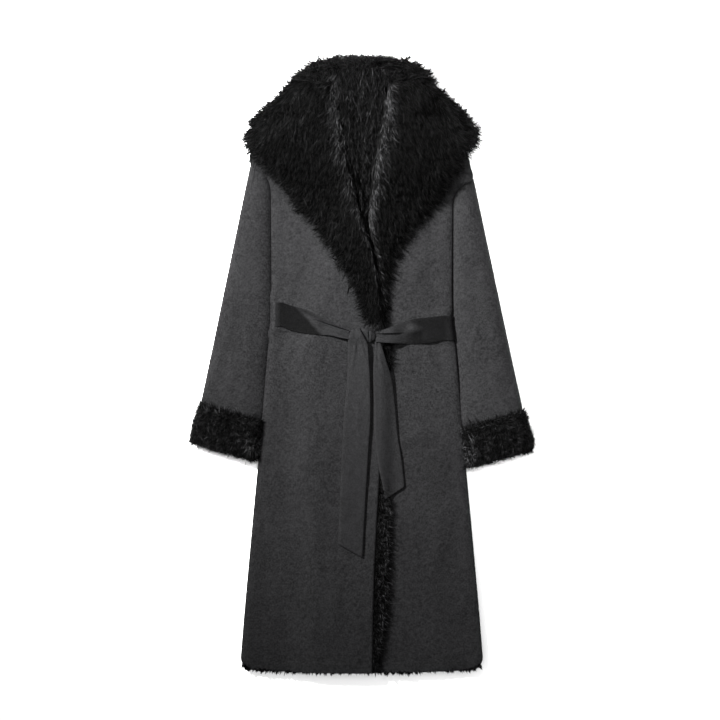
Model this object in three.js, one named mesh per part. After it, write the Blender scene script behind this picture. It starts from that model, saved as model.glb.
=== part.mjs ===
// A long wrap coat laid flat on its back, in millimetres.
// X runs across the coat, Y from hem to collar, Z up from the surface it lies on.
// Left and right are the wearer's, so the right front is at negative X.
import * as THREE from "three";
import { mergeVertices } from "three/addons/utils/BufferGeometryUtils.js";

// Driving sizes
const CLOTH = 2.4;
const GAP = 0.3;
const PILE = 10;
const HEM_FUR = 6;
const HEM_BOW = 6;
const HEM_BOW_START = -500;
const HEM_BOW_RUN = 140;
const HEM_CORNER = 28;
const SEAM_HEIGHT = 16;
const UNDER_ROUND = 26;
const UPPER_ROUND = 22;
const LINING_INSET = 8;
const SIDE_CLEAR = 1;
const FALL_THICKNESS = 14.7;
const WAIST_PINCH = 4;
const BELT_LIFT = 3;
const PINCH_REACH = 62;
const PINCH_FADE = 22;
const RAMP_START = 105;
const RAMP_END = 30;
const COLLAR_CLEAR = 1.1;
const COLLAR_REACH = 30;
const COLLAR_LEAST = 1.5;
const LAPEL_OUTER_ROUND = 34;
const LAPEL_ROLL_ROUND = 24;
const BELT_CLEAR = 0.5;
const BELT_GATHER = 3;
const TAIL_GATHER = 2.4;
const SLEEVE_THICKNESS = 22;
const SLEEVE_TIP = 5;
const SLEEVE_ROUND = 26;
const SLEEVE_GAP = 0.35;
const SLEEVE_HEAD = 365.2;
const SLEEVE_TOP_X = 237.5;
const SLEEVE_END_X = 339;
const HEAD_BULGE = 5;
const CUFF_UNDER = 8;
const CUFF_OVER = 11;
const CUFF_INSET = 7;
const CUFF_ROUND = 24;
const CUFF_TIP = 12;
const CUFF_HOLE_INSET = 4.4;
const CUFF_HOLE_END = 80;
const KNOT = { x: 1, y: 61, z: 48.5, halfX: 29.5, halfY: 19, halfZ: 9.3 };

const COLOURS = {
  cloth: { color: 0x46464a, roughness: 0.72 },
  fur: { color: 0x17171a, roughness: 0.95 },
  belt: { color: 0x3f3f44, roughness: 0.55 },
};

// Heights of the layers where they lie flat
const BACK_LINING_LOW = CLOTH + GAP;
const BACK_LINING_TOP = BACK_LINING_LOW + PILE;
const FRONT_LINING_LOW = BACK_LINING_TOP + GAP;
const FRONT_LINING_TOP = FRONT_LINING_LOW + PILE;
const FRONT_TOP = FRONT_LINING_TOP + GAP + CLOTH;
const OVERLAP_RISE = FRONT_TOP + GAP - FRONT_LINING_LOW;
const LAPPED_TOP = FRONT_TOP + OVERLAP_RISE;

// Where the right shoulder seam starts to rise, is highest and has come down again
const SHOULDER = { start: 320, run: 50, top: 432, end: 450 };

// Where the collar sinks from the fronts to its fall: past the sides and past the neck
const COLLAR_SINK = { side: -10, sideRun: 90, neck: 520, neckRun: 110, proud: 6 };

// Half width of the body, hem to neck
const BODY = [
  { y: -640, half: 257 }, { y: -520, half: 247.5 }, { y: -420, half: 238.5 },
  { y: -320, half: 229.5 }, { y: -200, half: 218 }, { y: -108, half: 210 },
  { y: -51, half: 205 }, { y: 20, half: 199 }, { y: 60, half: 195 },
  { y: 90, half: 191 }, { y: 160, half: 190 }, { y: 345, half: 191.5 },
  { y: 366, half: 197 }, { y: 381, half: 214 }, { y: 389, half: 233 },
  { y: 402, half: 236 }, { y: 432, half: 236 }, { y: 450, half: 222 },
  { y: 480, half: 178 }, { y: 530, half: 96 },
];

// Front edges: the cloth that laps over, its fur strip, and the cloth under it
const EDGES = [
  { y: -640, over: 22, strip: 44, under: -60 }, { y: -520, over: 23.5, strip: 56, under: -60 },
  { y: -420, over: 26.5, strip: 60.5, under: -60 }, { y: -320, over: 31.5, strip: 62.5, under: -60 },
  { y: -200, over: 39, strip: 62.5, under: -60 }, { y: 60, over: 43, strip: 62, under: -60 },
  { y: 90, over: 41, strip: 44, under: -55 }, { y: 160, over: 34, strip: 34, under: -35 },
  { y: 225, over: 21, strip: 21, under: -12 }, { y: 290, over: 4, strip: 4, under: 12 },
  { y: 345, over: -13, strip: -13, under: 20 }, { y: 432, over: -30, strip: -30, under: 33 },
  { y: 530, over: -48, strip: -48, under: 49 },
];

// How far the collar's fall lifts the upper back
const LIFT = [
  { y: 345, z: 0 }, { y: 381, z: 7 }, { y: 415, z: 15 }, { y: 530, z: 15 },
];

// Rows of the body from hem to neck
const ROWS = [
  -640, -637, -630, -612, -520, -420, -320, -200, -108, -51, 0, 20, 40, 60, 75, 90, 105, 120,
  140, 160, 225, 290, 345, 366, 381, 389, 402, 415, 432, 450, 480, 530,
];

// Belt edges from the side to the knot
const BELT_RIGHT = [
  { x: -150, top: 126, bottom: 74 }, { x: -135, top: 122, bottom: 70 }, { x: -112, top: 116, bottom: 66 },
  { x: -90, top: 105, bottom: 64 }, { x: -67, top: 92, bottom: 63 }, { x: -45, top: 81, bottom: 58 },
  { x: -29.5, top: 76, bottom: 54 },
];
const BELT_LEFT = [
  { x: 140, top: 101, bottom: 46 }, { x: 109, top: 97.6, bottom: 45 },
  { x: 80, top: 88, bottom: 46 }, { x: 60, top: 80, bottom: 47 }, { x: 44, top: 75, bottom: 48 },
  { x: 31.5, top: 72, bottom: 49 },
];

// The belt's middle at the body's sides, its half width there, and its stretch behind the back
const BELT_SIDES = { x: 190, right: 107, left: 78.5, halfBand: 25.5 };
const BELT_BEHIND = { halfLength: 158, halfBand: 24 };

// Where the left stretch climbs onto the overlap, both stretches gather, and the left tail droops
const BELT_CLIMB = { x: 100, run: 34 };
const BELT_CLOSE = { reach: 60, run: 40 };
const TAIL_DROOP = { x: 47, run: 44 };

// Belt tails from the knot down
const TAIL_RIGHT = [
  { lx: -27, ly: 40.5, rx: 12, ry: 40.5 }, { lx: -30, ly: 10, rx: 14.5, ry: 10 },
  { lx: -31.5, ly: -30, rx: 17, ry: -30 }, { lx: -38, ly: -106, rx: 18, ry: -106 },
  { lx: -41, ly: -159, rx: 15, ry: -159 }, { lx: -44, ly: -234, rx: 10.5, ry: -234 },
  { lx: -48, ly: -320, rx: 5, ry: -328 }, { lx: -50, ly: -374, rx: 1.3, ry: -403 },
];
const TAIL_LEFT = [
  { lx: 17, ly: 40.5, rx: 42, ry: 40.5 }, { lx: 21, ly: 10, rx: 54.6, ry: 10 },
  { lx: 21.6, ly: -30, rx: 63.6, ry: -30 }, { lx: 24, ly: -81, rx: 68.7, ry: -81 },
  { lx: 26, ly: -144, rx: 75, ry: -144 }, { lx: 33.6, ly: -205, rx: 84, ry: -201 },
  { lx: 42, ly: -245, rx: 87.5, ry: -232 }, { lx: 49.6, ly: -281, rx: 89.2, ry: -254.5 },
];

// Lapels from the top of the dome to the knot: outer edge (ox, oy) and roll line (rx, ry)
const LAPEL_RIGHT = [
  { ox: -86, oy: 646, rx: -63, ry: 612, fur: 16 }, { ox: -128, oy: 620, rx: -60, ry: 600, fur: 26 },
  { ox: -172, oy: 579, rx: -54, ry: 575, fur: 30 }, { ox: -216, oy: 537, rx: -47, ry: 548, fur: 31 },
  { ox: -246, oy: 500, rx: -42, ry: 520, fur: 31 }, { ox: -250, oy: 474, rx: -38, ry: 497, fur: 31 },
  { ox: -238, oy: 447, rx: -33, ry: 472, fur: 31 }, { ox: -219, oy: 424, rx: -28, ry: 446, fur: 31 },
  { ox: -188, oy: 394, rx: -23, ry: 418, fur: 31 }, { ox: -153, oy: 359, rx: -17, ry: 388, fur: 31 },
  { ox: -143, oy: 335, rx: -11, ry: 358, fur: 31 }, { ox: -113, oy: 306, rx: -3, ry: 325, fur: 30 },
  { ox: -76, oy: 253, rx: 8, ry: 288, fur: 29 }, { ox: -53, oy: 217, rx: 19, ry: 252, fur: 27 },
  { ox: -36, oy: 188, rx: 28, ry: 215, fur: 25 }, { ox: -20, oy: 153, rx: 36, ry: 172, fur: 22 },
  { ox: -2, oy: 108, rx: 43, ry: 118, fur: 19 }, { ox: 8, oy: 88, rx: 40, ry: 92, fur: 12 },
];
const LAPEL_LEFT = [
  { ox: 92, oy: 646, rx: 59, ry: 612, fur: 16 }, { ox: 134, oy: 620, rx: 57, ry: 600, fur: 26 },
  { ox: 173, oy: 579, rx: 52, ry: 575, fur: 30 }, { ox: 213, oy: 537, rx: 47, ry: 548, fur: 31 },
  { ox: 242, oy: 500, rx: 43, ry: 520, fur: 31 }, { ox: 246, oy: 474, rx: 38, ry: 497, fur: 31 },
  { ox: 238, oy: 450, rx: 33, ry: 470, fur: 31 }, { ox: 223, oy: 424, rx: 29, ry: 443, fur: 31 },
  { ox: 199, oy: 376, rx: 23, ry: 400, fur: 30 }, { ox: 164, oy: 340, rx: 19, ry: 365, fur: 29 },
  { ox: 124, oy: 301, rx: 14, ry: 325, fur: 27 }, { ox: 101, oy: 266, rx: 15, ry: 280, fur: 25 },
  { ox: 80, oy: 234, rx: 26, ry: 243, fur: 23 }, { ox: 66, oy: 200, rx: 34.5, ry: 203, fur: 21 },
  { ox: 56, oy: 166, rx: 40.5, ry: 165, fur: 17 }, { ox: 53, oy: 121, rx: 46, ry: 118, fur: 14 },
  { ox: 51, oy: 98, rx: 45.5, ry: 98, fur: 9 },
];

// Back collar between the roll lines and over the top of the dome
const COLLAR_BACK = [
  { y: 335, left: -3, right: 12, low: 28.3, top: 36 }, { y: 380, left: -12, right: 18, low: 28.3, top: 41 },
  { y: 430, left: -23, right: 26, low: 28.3, top: 46 }, { y: 480, left: -32, right: 34, low: 28.3, top: 50 },
  { y: 531, left: -42, right: 43, low: 28.3, top: 54 }, { y: 548, left: -45, right: 45, low: 27, top: 56 },
  { y: 575, left: -52, right: 50, low: 15.2, top: 58 }, { y: 612, left: -61, right: 57, low: 15.2, top: 57 },
  { y: 630, left: -72, right: 73, low: 15.2, top: 50 }, { y: 644, left: -80, right: 86, low: 15.2, top: 38 },
  { y: 652, left: -62, right: 70, low: 15.2, top: 24 },
];

// Half width of the collar's fall
const FALL = [
  { y: 424, half: 120 }, { y: 432, half: 165 }, { y: 450, half: 205 }, { y: 474, half: 232 },
  { y: 498, half: 233 }, { y: 537, half: 203 }, { y: 579, half: 163 }, { y: 612, half: 124 },
  { y: 634, half: 92 }, { y: 645, half: 50 },
];

// Sleeves in their own side's coordinates, X outward
const SLEEVES = [
  { name: "right", side: -1, headShift: 26, outerTop: 414.6, outerEnd: -77, innerEnd: -114 },
  { name: "left", side: 1, headShift: 0, outerTop: 387.2, outerEnd: -91, innerEnd: -129 },
];
const CUFF_ROWS = [
  { along: 0, out: 1, proud: 0.55 }, { along: 14, out: 5, proud: 1 }, { along: 44, out: 7, proud: 1 },
  { along: 68, out: 6, proud: 0.95 }, { along: 84, out: 0, proud: 0.7 },
];

// Creases in the fronts: middle, heading in degrees, half length, half width and height
const CREASES = [
  { x: -168, y: 158, heading: 75, length: 26, width: 7, height: 2.2 },
  { x: -150, y: 150, heading: 62, length: 20, width: 6, height: 1.6 },
  { x: 178, y: 135, heading: 88, length: 30, width: 6, height: 2 },
  { x: 140, y: 20, heading: -62, length: 46, width: 10, height: 1.8 },
  { x: 115, y: -150, heading: 24, length: 60, width: 12, height: 1.6 },
  { x: -120, y: 30, heading: 70, length: 48, width: 10, height: 1.8 },
  { x: -120, y: -210, heading: 84, length: 130, width: 16, height: 1.4 },
];

const clamp = (v, low, high) => Math.min(high, Math.max(low, v));
const mix = (a, b, t) => a + (b - a) * t;
const smooth = (t) => clamp(t, 0, 1) ** 2 * (3 - 2 * clamp(t, 0, 1));

// A table's column at a given place, straight between rows
function lookup(table, key, at, column) {
  if (at <= table[0][key]) return table[0][column];
  for (let i = 1; i < table.length; i += 1) {
    const a = table[i - 1];
    const b = table[i];
    if (at <= b[key]) return mix(a[column], b[column], (at - a[key]) / (b[key] - a[key]));
  }
  return table[table.length - 1][column];
}

// Quarter round: 0 at the edge, 1 once the distance reaches the radius
const round = (distance, radius) => Math.sqrt(1 - (1 - clamp(distance / radius, 0, 1)) ** 2);

// The right shoulder seam lies higher than the left one
function shoulderShift(side, y) {
  if (side > 0) return 0;
  const rise = smooth((y - SHOULDER.start) / SHOULDER.run);
  return SLEEVES[0].headShift * rise * clamp((SHOULDER.end - y) / (SHOULDER.end - SHOULDER.top), 0, 1);
}

// Middle of the belt where it passes round the body
const beltMiddle = (x) => mix(BELT_SIDES.right, BELT_SIDES.left, clamp((x / BELT_SIDES.x + 1) / 2, 0, 1));

const beltBand = (x, y) => clamp((PINCH_REACH - Math.abs(y - beltMiddle(x))) / PINCH_FADE, 0, 1);

// Half width of the body on one side, with the hem's round corner
function looseWidth(side, y) {
  const half = lookup(BODY, "y", y - shoulderShift(side, y), "half");
  const corner = clamp((HEM_CORNER - (y - ROWS[0])) / HEM_CORNER, 0, 1);
  return half - HEM_CORNER * (1 - Math.sqrt(1 - corner ** 2));
}

// The same where the belt pinches it
const halfWidth = (side, y) => looseWidth(side, y) - WAIST_PINCH * beltBand(side * BELT_SIDES.x, y);

const hemBow = (x, y) => HEM_BOW * (1 - (x / BODY[0].half) ** 2) * smooth((HEM_BOW_START - y) / HEM_BOW_RUN);
const lift = (y) => lookup(LIFT, "y", y, "z");
const edgeAt = (y, column) => lookup(EDGES, "y", y, column);

// Rise of the lapping front from one layer to two, in quarters of its ramp
function overlapRise(x, y) {
  const start = edgeAt(y, "under") - RAMP_START;
  const t = clamp((x - start) / (RAMP_START - RAMP_END), 0, 1) * 4;
  const k = Math.floor(t);
  return OVERLAP_RISE * mix(smooth(k / 4), smooth((k + 1) / 4), t - k);
}

function creaseHeight(x, y) {
  return (1 - beltBand(x, y)) * CREASES.reduce((sum, c) => {
    const a = THREE.MathUtils.degToRad(c.heading);
    const along = (x - c.x) * Math.cos(a) + (y - c.y) * Math.sin(a);
    const across = (y - c.y) * Math.cos(a) - (x - c.x) * Math.sin(a);
    const fade = 1 - smooth(Math.abs(along) / c.length);
    return sum + c.height * fade * Math.exp(-((across / c.width) ** 2));
  }, 0);
}

// Top of the fronts where they are flat
function frontTop(side, x, y) {
  return FRONT_TOP + lift(y) + (side < 0 ? overlapRise(x, y) : 0);
}

// A closed body between an outer and an inner grid of points, both given as rows.
// Where the rows are rings, it is open through its middle.
function wall(name, outer, inner, finish, rings = false) {
  const rows = outer.length;
  const cols = outer[0].length;
  const points = [...outer.flat(), ...inner.flat()];
  const at = (layer, i, j) => layer * rows * cols + i * cols + (j % cols);
  const faces = [];
  const quad = (a, b, c, d) => faces.push(a, b, c, a, c, d);
  const last = rings ? cols : cols - 1;
  for (let j = 0; j < last; j += 1) {
    for (let i = 0; i + 1 < rows; i += 1) {
      quad(at(0, i, j), at(0, i, j + 1), at(0, i + 1, j + 1), at(0, i + 1, j));
      quad(at(1, i, j), at(1, i + 1, j), at(1, i + 1, j + 1), at(1, i, j + 1));
    }
    quad(at(0, 0, j), at(1, 0, j), at(1, 0, j + 1), at(0, 0, j + 1));
    quad(at(0, rows - 1, j), at(0, rows - 1, j + 1), at(1, rows - 1, j + 1), at(1, rows - 1, j));
  }
  for (let i = 0; !rings && i + 1 < rows; i += 1) {
    quad(at(0, i, 0), at(0, i + 1, 0), at(1, i + 1, 0), at(1, i, 0));
    quad(at(0, i, last), at(1, i, last), at(1, i + 1, last), at(0, i + 1, last));
  }
  return solid(name, points, faces, finish);
}

// Mesh of a closed body, turned so that its faces point out
function solid(name, points, faces, finish) {
  let volume = 0;
  for (let i = 0; i < faces.length; i += 3) {
    const [a, b, c] = [points[faces[i]], points[faces[i + 1]], points[faces[i + 2]]];
    volume += a.x * (b.y * c.z - b.z * c.y) - a.y * (b.x * c.z - b.z * c.x) + a.z * (b.x * c.y - b.y * c.x);
  }
  const index = volume > 0 ? faces : faces.slice().reverse();
  const geometry = new THREE.BufferGeometry().setFromPoints(points);
  geometry.setIndex(index);
  geometry.computeVertexNormals();
  const material = new THREE.MeshStandardMaterial({ ...COLOURS[finish], metalness: 0 });
  const mesh = new THREE.Mesh(geometry, material);
  mesh.name = name;
  return mesh;
}

const point = (x, y, z) => new THREE.Vector3(x, y - hemBow(x, y), z);
const QUARTER = [0, 0.25, 0.5, 0.75];

// Cloth of the back: round sides, flat underside, raised a little over the belt
function backPanel() {
  const path = (y, inset) => {
    const z = (height, x) => height + BELT_LIFT * beltBand(x, y) * (1 - height / SEAM_HEIGHT) + lift(y);
    const side = (sign) => QUARTER.map((k) => {
      const a = (k * Math.PI) / 2;
      const x = sign * (halfWidth(sign, y) - inset - (UNDER_ROUND - inset) * (1 - Math.cos(a)));
      const height = SEAM_HEIGHT - GAP / 2 - (SEAM_HEIGHT - GAP / 2 - inset) * Math.sin(a);
      return point(x, y, z(height, x));
    });
    const flat = [0, 0.25, 0.5, 0.75, 1].map((t) => {
      const x = mix(-halfWidth(-1, y) + UNDER_ROUND, halfWidth(1, y) - UNDER_ROUND, t);
      return point(x, y, z(inset, x));
    });
    return [...side(-1), ...flat, ...side(1).reverse()];
  };
  return wall("back_panel", ROWS.map((y) => path(y, 0)), ROWS.map((y) => path(y, CLOTH)), "cloth");
}

// Inside of the cloth near a side edge, as heights over the distance from that edge
const UPPER_RISE = FRONT_TOP - CLOTH - SEAM_HEIGHT;
const insideLow = (d) => SEAM_HEIGHT - (SEAM_HEIGHT - CLOTH) * round(d - CLOTH, UNDER_ROUND - CLOTH);
const insideTop = (d) => SEAM_HEIGHT + UPPER_RISE * round(d - CLOTH, UPPER_ROUND - CLOTH);

// Linings reach past the cloth at the hem
const LINING_ROWS = [ROWS[0] - HEM_FUR, ...ROWS];
const LINING_BEND = 15;
const SIDE_STEPS = [LINING_INSET, LINING_BEND, UNDER_ROUND];

function backLining() {
  const across = (y) => {
    const left = SIDE_STEPS.map((d) => -halfWidth(-1, y) + d);
    const right = SIDE_STEPS.map((d) => halfWidth(1, y) - d).reverse();
    return [...left, 0, ...right];
  };
  const edge = (x, y) => halfWidth(Math.sign(x), y) - Math.abs(x);
  const low = (x, y) => {
    const height = Math.max(BACK_LINING_LOW, insideLow(edge(x, y)) + SIDE_CLEAR);
    return height + BELT_LIFT * beltBand(x, y) + lift(y);
  };
  const rows = LINING_ROWS.map((y) => across(y).map((x) => [x, y]));
  const top = rows.map((row) => row.map(([x, y]) => point(x, y, BACK_LINING_TOP + lift(y))));
  const bottom = rows.map((row) => row.map(([x, y]) => point(x, y, low(x, y))));
  return wall("back_lining", top, bottom, "fur");
}

// Columns of a front from its side round to its edge, none closer than a small step
const COLUMN_STEP = 2;

function frontColumns(side, y) {
  const from = halfWidth(side, y) - UPPER_ROUND;
  if (side > 0) return [0, 0.3, 0.6, 0.85, 1].map((t) => mix(from, edgeAt(y, "under"), t));
  const start = edgeAt(y, "under") - RAMP_START;
  const step = (RAMP_START - RAMP_END) / 4;
  const ramp = [0, 1, 2, 3, 4].map((k) => start + k * step);
  const edge = edgeAt(y, "over");
  const raw = [-from, mix(-from, start, 0.5), ...ramp, mix(ramp[4], edge, 0.5), edge];
  const count = raw.length - 1;
  return raw.map((x, j) => Math.max(-from + j, Math.min(x, edge - (count - j) * COLUMN_STEP)));
}

function front(name, side) {
  const path = (y, inset) => {
    const arc = QUARTER.map((k) => {
      const a = (k * Math.PI) / 2;
      const x = side * (halfWidth(side, y) - inset - (UPPER_ROUND - inset) * (1 - Math.cos(a)));
      const base = SEAM_HEIGHT + GAP / 2;
      return point(x, y, base + (FRONT_TOP - inset - base) * Math.sin(a) + lift(y));
    });
    const flat = frontColumns(side, y);
    return [...arc, ...flat.map((x) => point(x, y, frontTop(side, x, y) - inset + creaseHeight(x, y)))];
  };
  return wall(name, ROWS.map((y) => path(y, 0)), ROWS.map((y) => path(y, CLOTH)), "cloth");
}

// The lapping front's lining reaches a little past its cloth even where it has no strip
const STRIP_OUT = 1;

function frontLining(name, side) {
  const across = (y) => {
    const sides = [LINING_INSET, LINING_BEND].map((d) => side * (halfWidth(side, y) - d));
    const columns = frontColumns(side, y);
    const last = columns[columns.length - 1];
    const strip = edgeAt(y, "strip") + STRIP_OUT;
    return side > 0 ? [...sides, ...columns] : [...sides, ...columns, mix(last, strip, 0.5), strip];
  };
  const height = (x, y, flat) => {
    const edge = halfWidth(side, y) - Math.abs(x);
    const capped = side * x > 0 ? Math.min(flat, insideTop(edge) - SIDE_CLEAR) : flat;
    return capped + (side < 0 ? overlapRise(x, y) : 0) + lift(y);
  };
  const grid = (flat) => LINING_ROWS.map((y) => across(y).map((x) => point(x, y, height(x, y, flat))));
  return wall(name, grid(FRONT_LINING_TOP), grid(FRONT_LINING_LOW), "fur");
}

// Edges of a sleeve at a share of its length, and past its end inside the cuff
function sleeveEdges(s, share) {
  const iy = mix(SLEEVE_HEAD + s.headShift, s.innerEnd, share);
  const oy = mix(s.outerTop, s.outerEnd, share);
  return { ix: looseWidth(s.side, iy) + SLEEVE_GAP, iy, ox: mix(SLEEVE_TOP_X, SLEEVE_END_X, share), oy };
}

const SLEEVE_SHARES = [0, 0.08, 0.18, 0.3, 0.42, 0.54, 0.66, 0.78, 0.9];
const SLEEVE_COLUMNS = [0, 2, 6, 13, SLEEVE_ROUND];
const SLEEVE_RISE = { share: 0.75, run: 0.23 };
const BEFORE_CUFF = -14;
const INTO_CUFF = [-3, CUFF_HOLE_END - 2];

// Stations of a sleeve: its two edges and the height of its underside
function sleeveStations(s) {
  const stations = SLEEVE_SHARES.map((share) => ({
    ...sleeveEdges(s, share),
    floor: CUFF_UNDER * smooth((share - SLEEVE_RISE.share) / SLEEVE_RISE.run),
    bulge: share === 0 ? HEAD_BULGE : 0,
  }));
  const end = cuffFrame(s);
  stations.push({ ...end(BEFORE_CUFF).inset(0), floor: CUFF_UNDER, bulge: 0 });
  INTO_CUFF.forEach((along) => {
    stations.push({ ...end(along).inset(CUFF_INSET), floor: CUFF_UNDER + GAP, bulge: 0 });
  });
  return stations;
}

// Frame of the cuff: its edge points at a distance down the sleeve, moved in or out
function cuffFrame(s) {
  const e = sleeveEdges(s, 1);
  const width = Math.hypot(e.ox - e.ix, e.oy - e.iy);
  const ux = (e.ox - e.ix) / width;
  const uy = (e.oy - e.iy) / width;
  const down = { x: uy, y: -ux };
  return (along) => ({
    inset: (amount) => {
      const iy = e.iy + down.y * along + uy * amount;
      const body = lookup(BODY, "y", iy, "half") + SLEEVE_GAP;
      return {
        ix: Math.max(body + Math.max(amount, 0) * ux, e.ix + down.x * along + ux * amount), iy,
        ox: e.ox + down.x * along - ux * amount, oy: e.oy + down.y * along - uy * amount,
      };
    },
  });
}

function sleeveHalf(s, part) {
  const stations = sleeveStations(s);
  const path = (st, inset) => {
    const width = Math.hypot(st.ox - st.ix, st.oy - st.iy);
    const far = SLEEVE_COLUMNS.length;
    const spread = SLEEVE_COLUMNS.map((d) => Math.min(d, (width / 2 - 1) * (d / SLEEVE_ROUND)));
    const offsets = [...spread, width / 2, ...spread.map((d) => width - d).reverse()];
    return offsets.map((d, j) => {
      const edge = j < far ? d : j === far ? width / 2 : width - d;
      const curve = round(edge, Math.min(SLEEVE_ROUND, width / 2 - 2));
      const reach = inset * (1 - 2 * (d / width));
      const share = (d + reach) / width;
      const tip = part === "top" ? SLEEVE_TIP + GAP / 2 : SLEEVE_TIP - GAP / 2;
      const height = part === "top"
        ? tip + (SLEEVE_THICKNESS - tip - inset) * curve
        : tip - (tip - inset) * curve;
      const bulge = st.bulge * 4 * share * (1 - share);
      const x = mix(st.ix, st.ox, share);
      return new THREE.Vector3(s.side * x, mix(st.iy, st.oy, share) + bulge, st.floor + height);
    });
  };
  const outer = stations.map((st) => path(st, 0));
  const inner = stations.map((st) => path(st, CLOTH));
  return wall(`${s.name}_sleeve_${part}`, outer, inner, "cloth");
}

// Fur band round the sleeve's end, open through its middle
const CUFF_STEPS = 12;
const CUFF_RAISE = 0.4;

function cuff(s) {
  const frame = cuffFrame(s);
  const angles = Array.from({ length: CUFF_STEPS + 1 }, (_, k) => (k / CUFF_STEPS) * Math.PI);
  const shares = angles.map((a) => (1 - Math.cos(a)) / 2);
  const ring = (st, { thick, low, tip, spare }) => {
    const width = Math.hypot(st.ox - st.ix, st.oy - st.iy);
    const at = (share, height) => {
      const curve = round(Math.min(share, 1 - share) * width, CUFF_ROUND);
      const x = s.side * mix(st.ix, st.ox, share);
      return new THREE.Vector3(x, mix(st.iy, st.oy, share), low + tip + height(curve));
    };
    const top = shares.map((share) => at(share, (curve) => (thick - tip) * curve + CUFF_RAISE));
    const under = shares.map((share) => at(share, (curve) => spare * (1 - curve) - tip * curve));
    return [...top, ...under.reverse()];
  };
  const outer = CUFF_ROWS.map((row) => ring(frame(row.along).inset(-row.out / 2), {
    thick: CUFF_UNDER + SLEEVE_THICKNESS + CUFF_OVER * row.proud, low: 0, tip: CUFF_TIP, spare: CUFF_RAISE,
  }));
  const inner = CUFF_ROWS.map((row) => ring(frame(row.along).inset(CUFF_HOLE_INSET), {
    thick: SLEEVE_THICKNESS + 4 * CUFF_RAISE, low: CUFF_UNDER, tip: SLEEVE_TIP + GAP, spare: -CUFF_RAISE,
  }));
  return wall(`${s.name}_cuff`, outer, inner, "fur", true);
}

// Surface that the collar lies on: the fronts, and past them the collar's fall
function seatAt(x, y) {
  const top = ROWS[ROWS.length - 1];
  if (y > top || Math.abs(x) > halfWidth(Math.sign(x), y)) return FALL_THICKNESS;
  const lapped = x < edgeAt(y, "strip") + 2 * STRIP_OUT;
  return FRONT_TOP + lift(y) + (lapped ? overlapRise(x, y) : 0);
}

// The highest seat within reach of a point, so that the fur's underside clears all of it
function collarSeat(x, y) {
  let seat = seatAt(x, y);
  for (let k = 0; k < 12; k += 1) {
    const a = (k * Math.PI) / 6;
    [0.4, 0.7, 1].forEach((share) => {
      const reach = COLLAR_REACH * share;
      seat = Math.max(seat, seatAt(x + reach * Math.cos(a), y + reach * Math.sin(a)));
    });
  }
  return seat + COLLAR_CLEAR;
}

// The same surface as the fur's top follows it, with soft slopes over the shoulders and the neck
function softSeat(x, y) {
  const past = Math.abs(x) - halfWidth(Math.sign(x), Math.min(y, ROWS[ROWS.length - 1]));
  const sideDrop = smooth((past - COLLAR_SINK.side) / COLLAR_SINK.sideRun);
  const drop = Math.max(sideDrop, smooth((y - COLLAR_SINK.neck) / COLLAR_SINK.neckRun));
  const body = FRONT_TOP + lift(y) + (x < edgeAt(y, "over") ? overlapRise(x, y) : 0);
  return mix(body, FALL_THICKNESS + COLLAR_SINK.proud, drop);
}

const LAPEL_COLUMNS = [0, 0.04, 0.1, 0.18, 0.28, 0.39, 0.51, 0.63, 0.75, 0.86, 0.95, 1];

function lapel(name, table) {
  const rows = table.map((row) => {
    const width = Math.hypot(row.rx - row.ox, row.ry - row.oy);
    return LAPEL_COLUMNS.map((t) => {
      const x = mix(row.ox, row.rx, t);
      const y = mix(row.oy, row.ry, t);
      const outerRound = round(t * width + 1, Math.min(LAPEL_OUTER_ROUND, width * 0.5));
      const rollRound = round((1 - t) * width + 1.5, Math.min(LAPEL_ROLL_ROUND, width * 0.4));
      const height = row.fur * mix(0.82, 1.08, t) * Math.min(outerRound, rollRound);
      const low = collarSeat(x, y);
      return { x, y, low, top: Math.max(low + COLLAR_LEAST, softSeat(x, y) + height) };
    });
  });
  const top = rows.map((row) => row.map((p) => new THREE.Vector3(p.x, p.y, p.top)));
  const bottom = rows.map((row) => row.map((p) => new THREE.Vector3(p.x, p.y, p.low)));
  return wall(name, top, bottom, "fur");
}

function collarBack() {
  const columns = [0, 0.08, 0.25, 0.5, 0.75, 0.92, 1];
  const grid = (pick) => COLLAR_BACK.map((row) => columns.map((t) => {
    const x = mix(row.left, row.right, t);
    const sag = 0.82 + 0.18 * Math.sin(Math.PI * t);
    return new THREE.Vector3(x, row.y, pick(row, sag));
  }));
  return wall("collar_back", grid((row, sag) => mix(row.low, row.top, sag)), grid((row) => row.low), "fur");
}

function collarFall() {
  const columns = [-1, -0.97, -0.88, -0.6, 0, 0.6, 0.88, 0.97, 1];
  const last = FALL.length - 1;
  const grid = (upper) => FALL.map((row, i) => columns.map((t) => {
    const end = i === 0 || i === last ? 0.45 : 1;
    const side = Math.min(1, 0.35 + 3.2 * (1 - Math.abs(t)));
    const half = FALL_THICKNESS / 2;
    return new THREE.Vector3(t * row.half, row.y, half + (upper ? 1 : -1) * half * Math.min(end, side));
  }));
  return wall("collar_fall", grid(true), grid(false), "fur");
}

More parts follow.
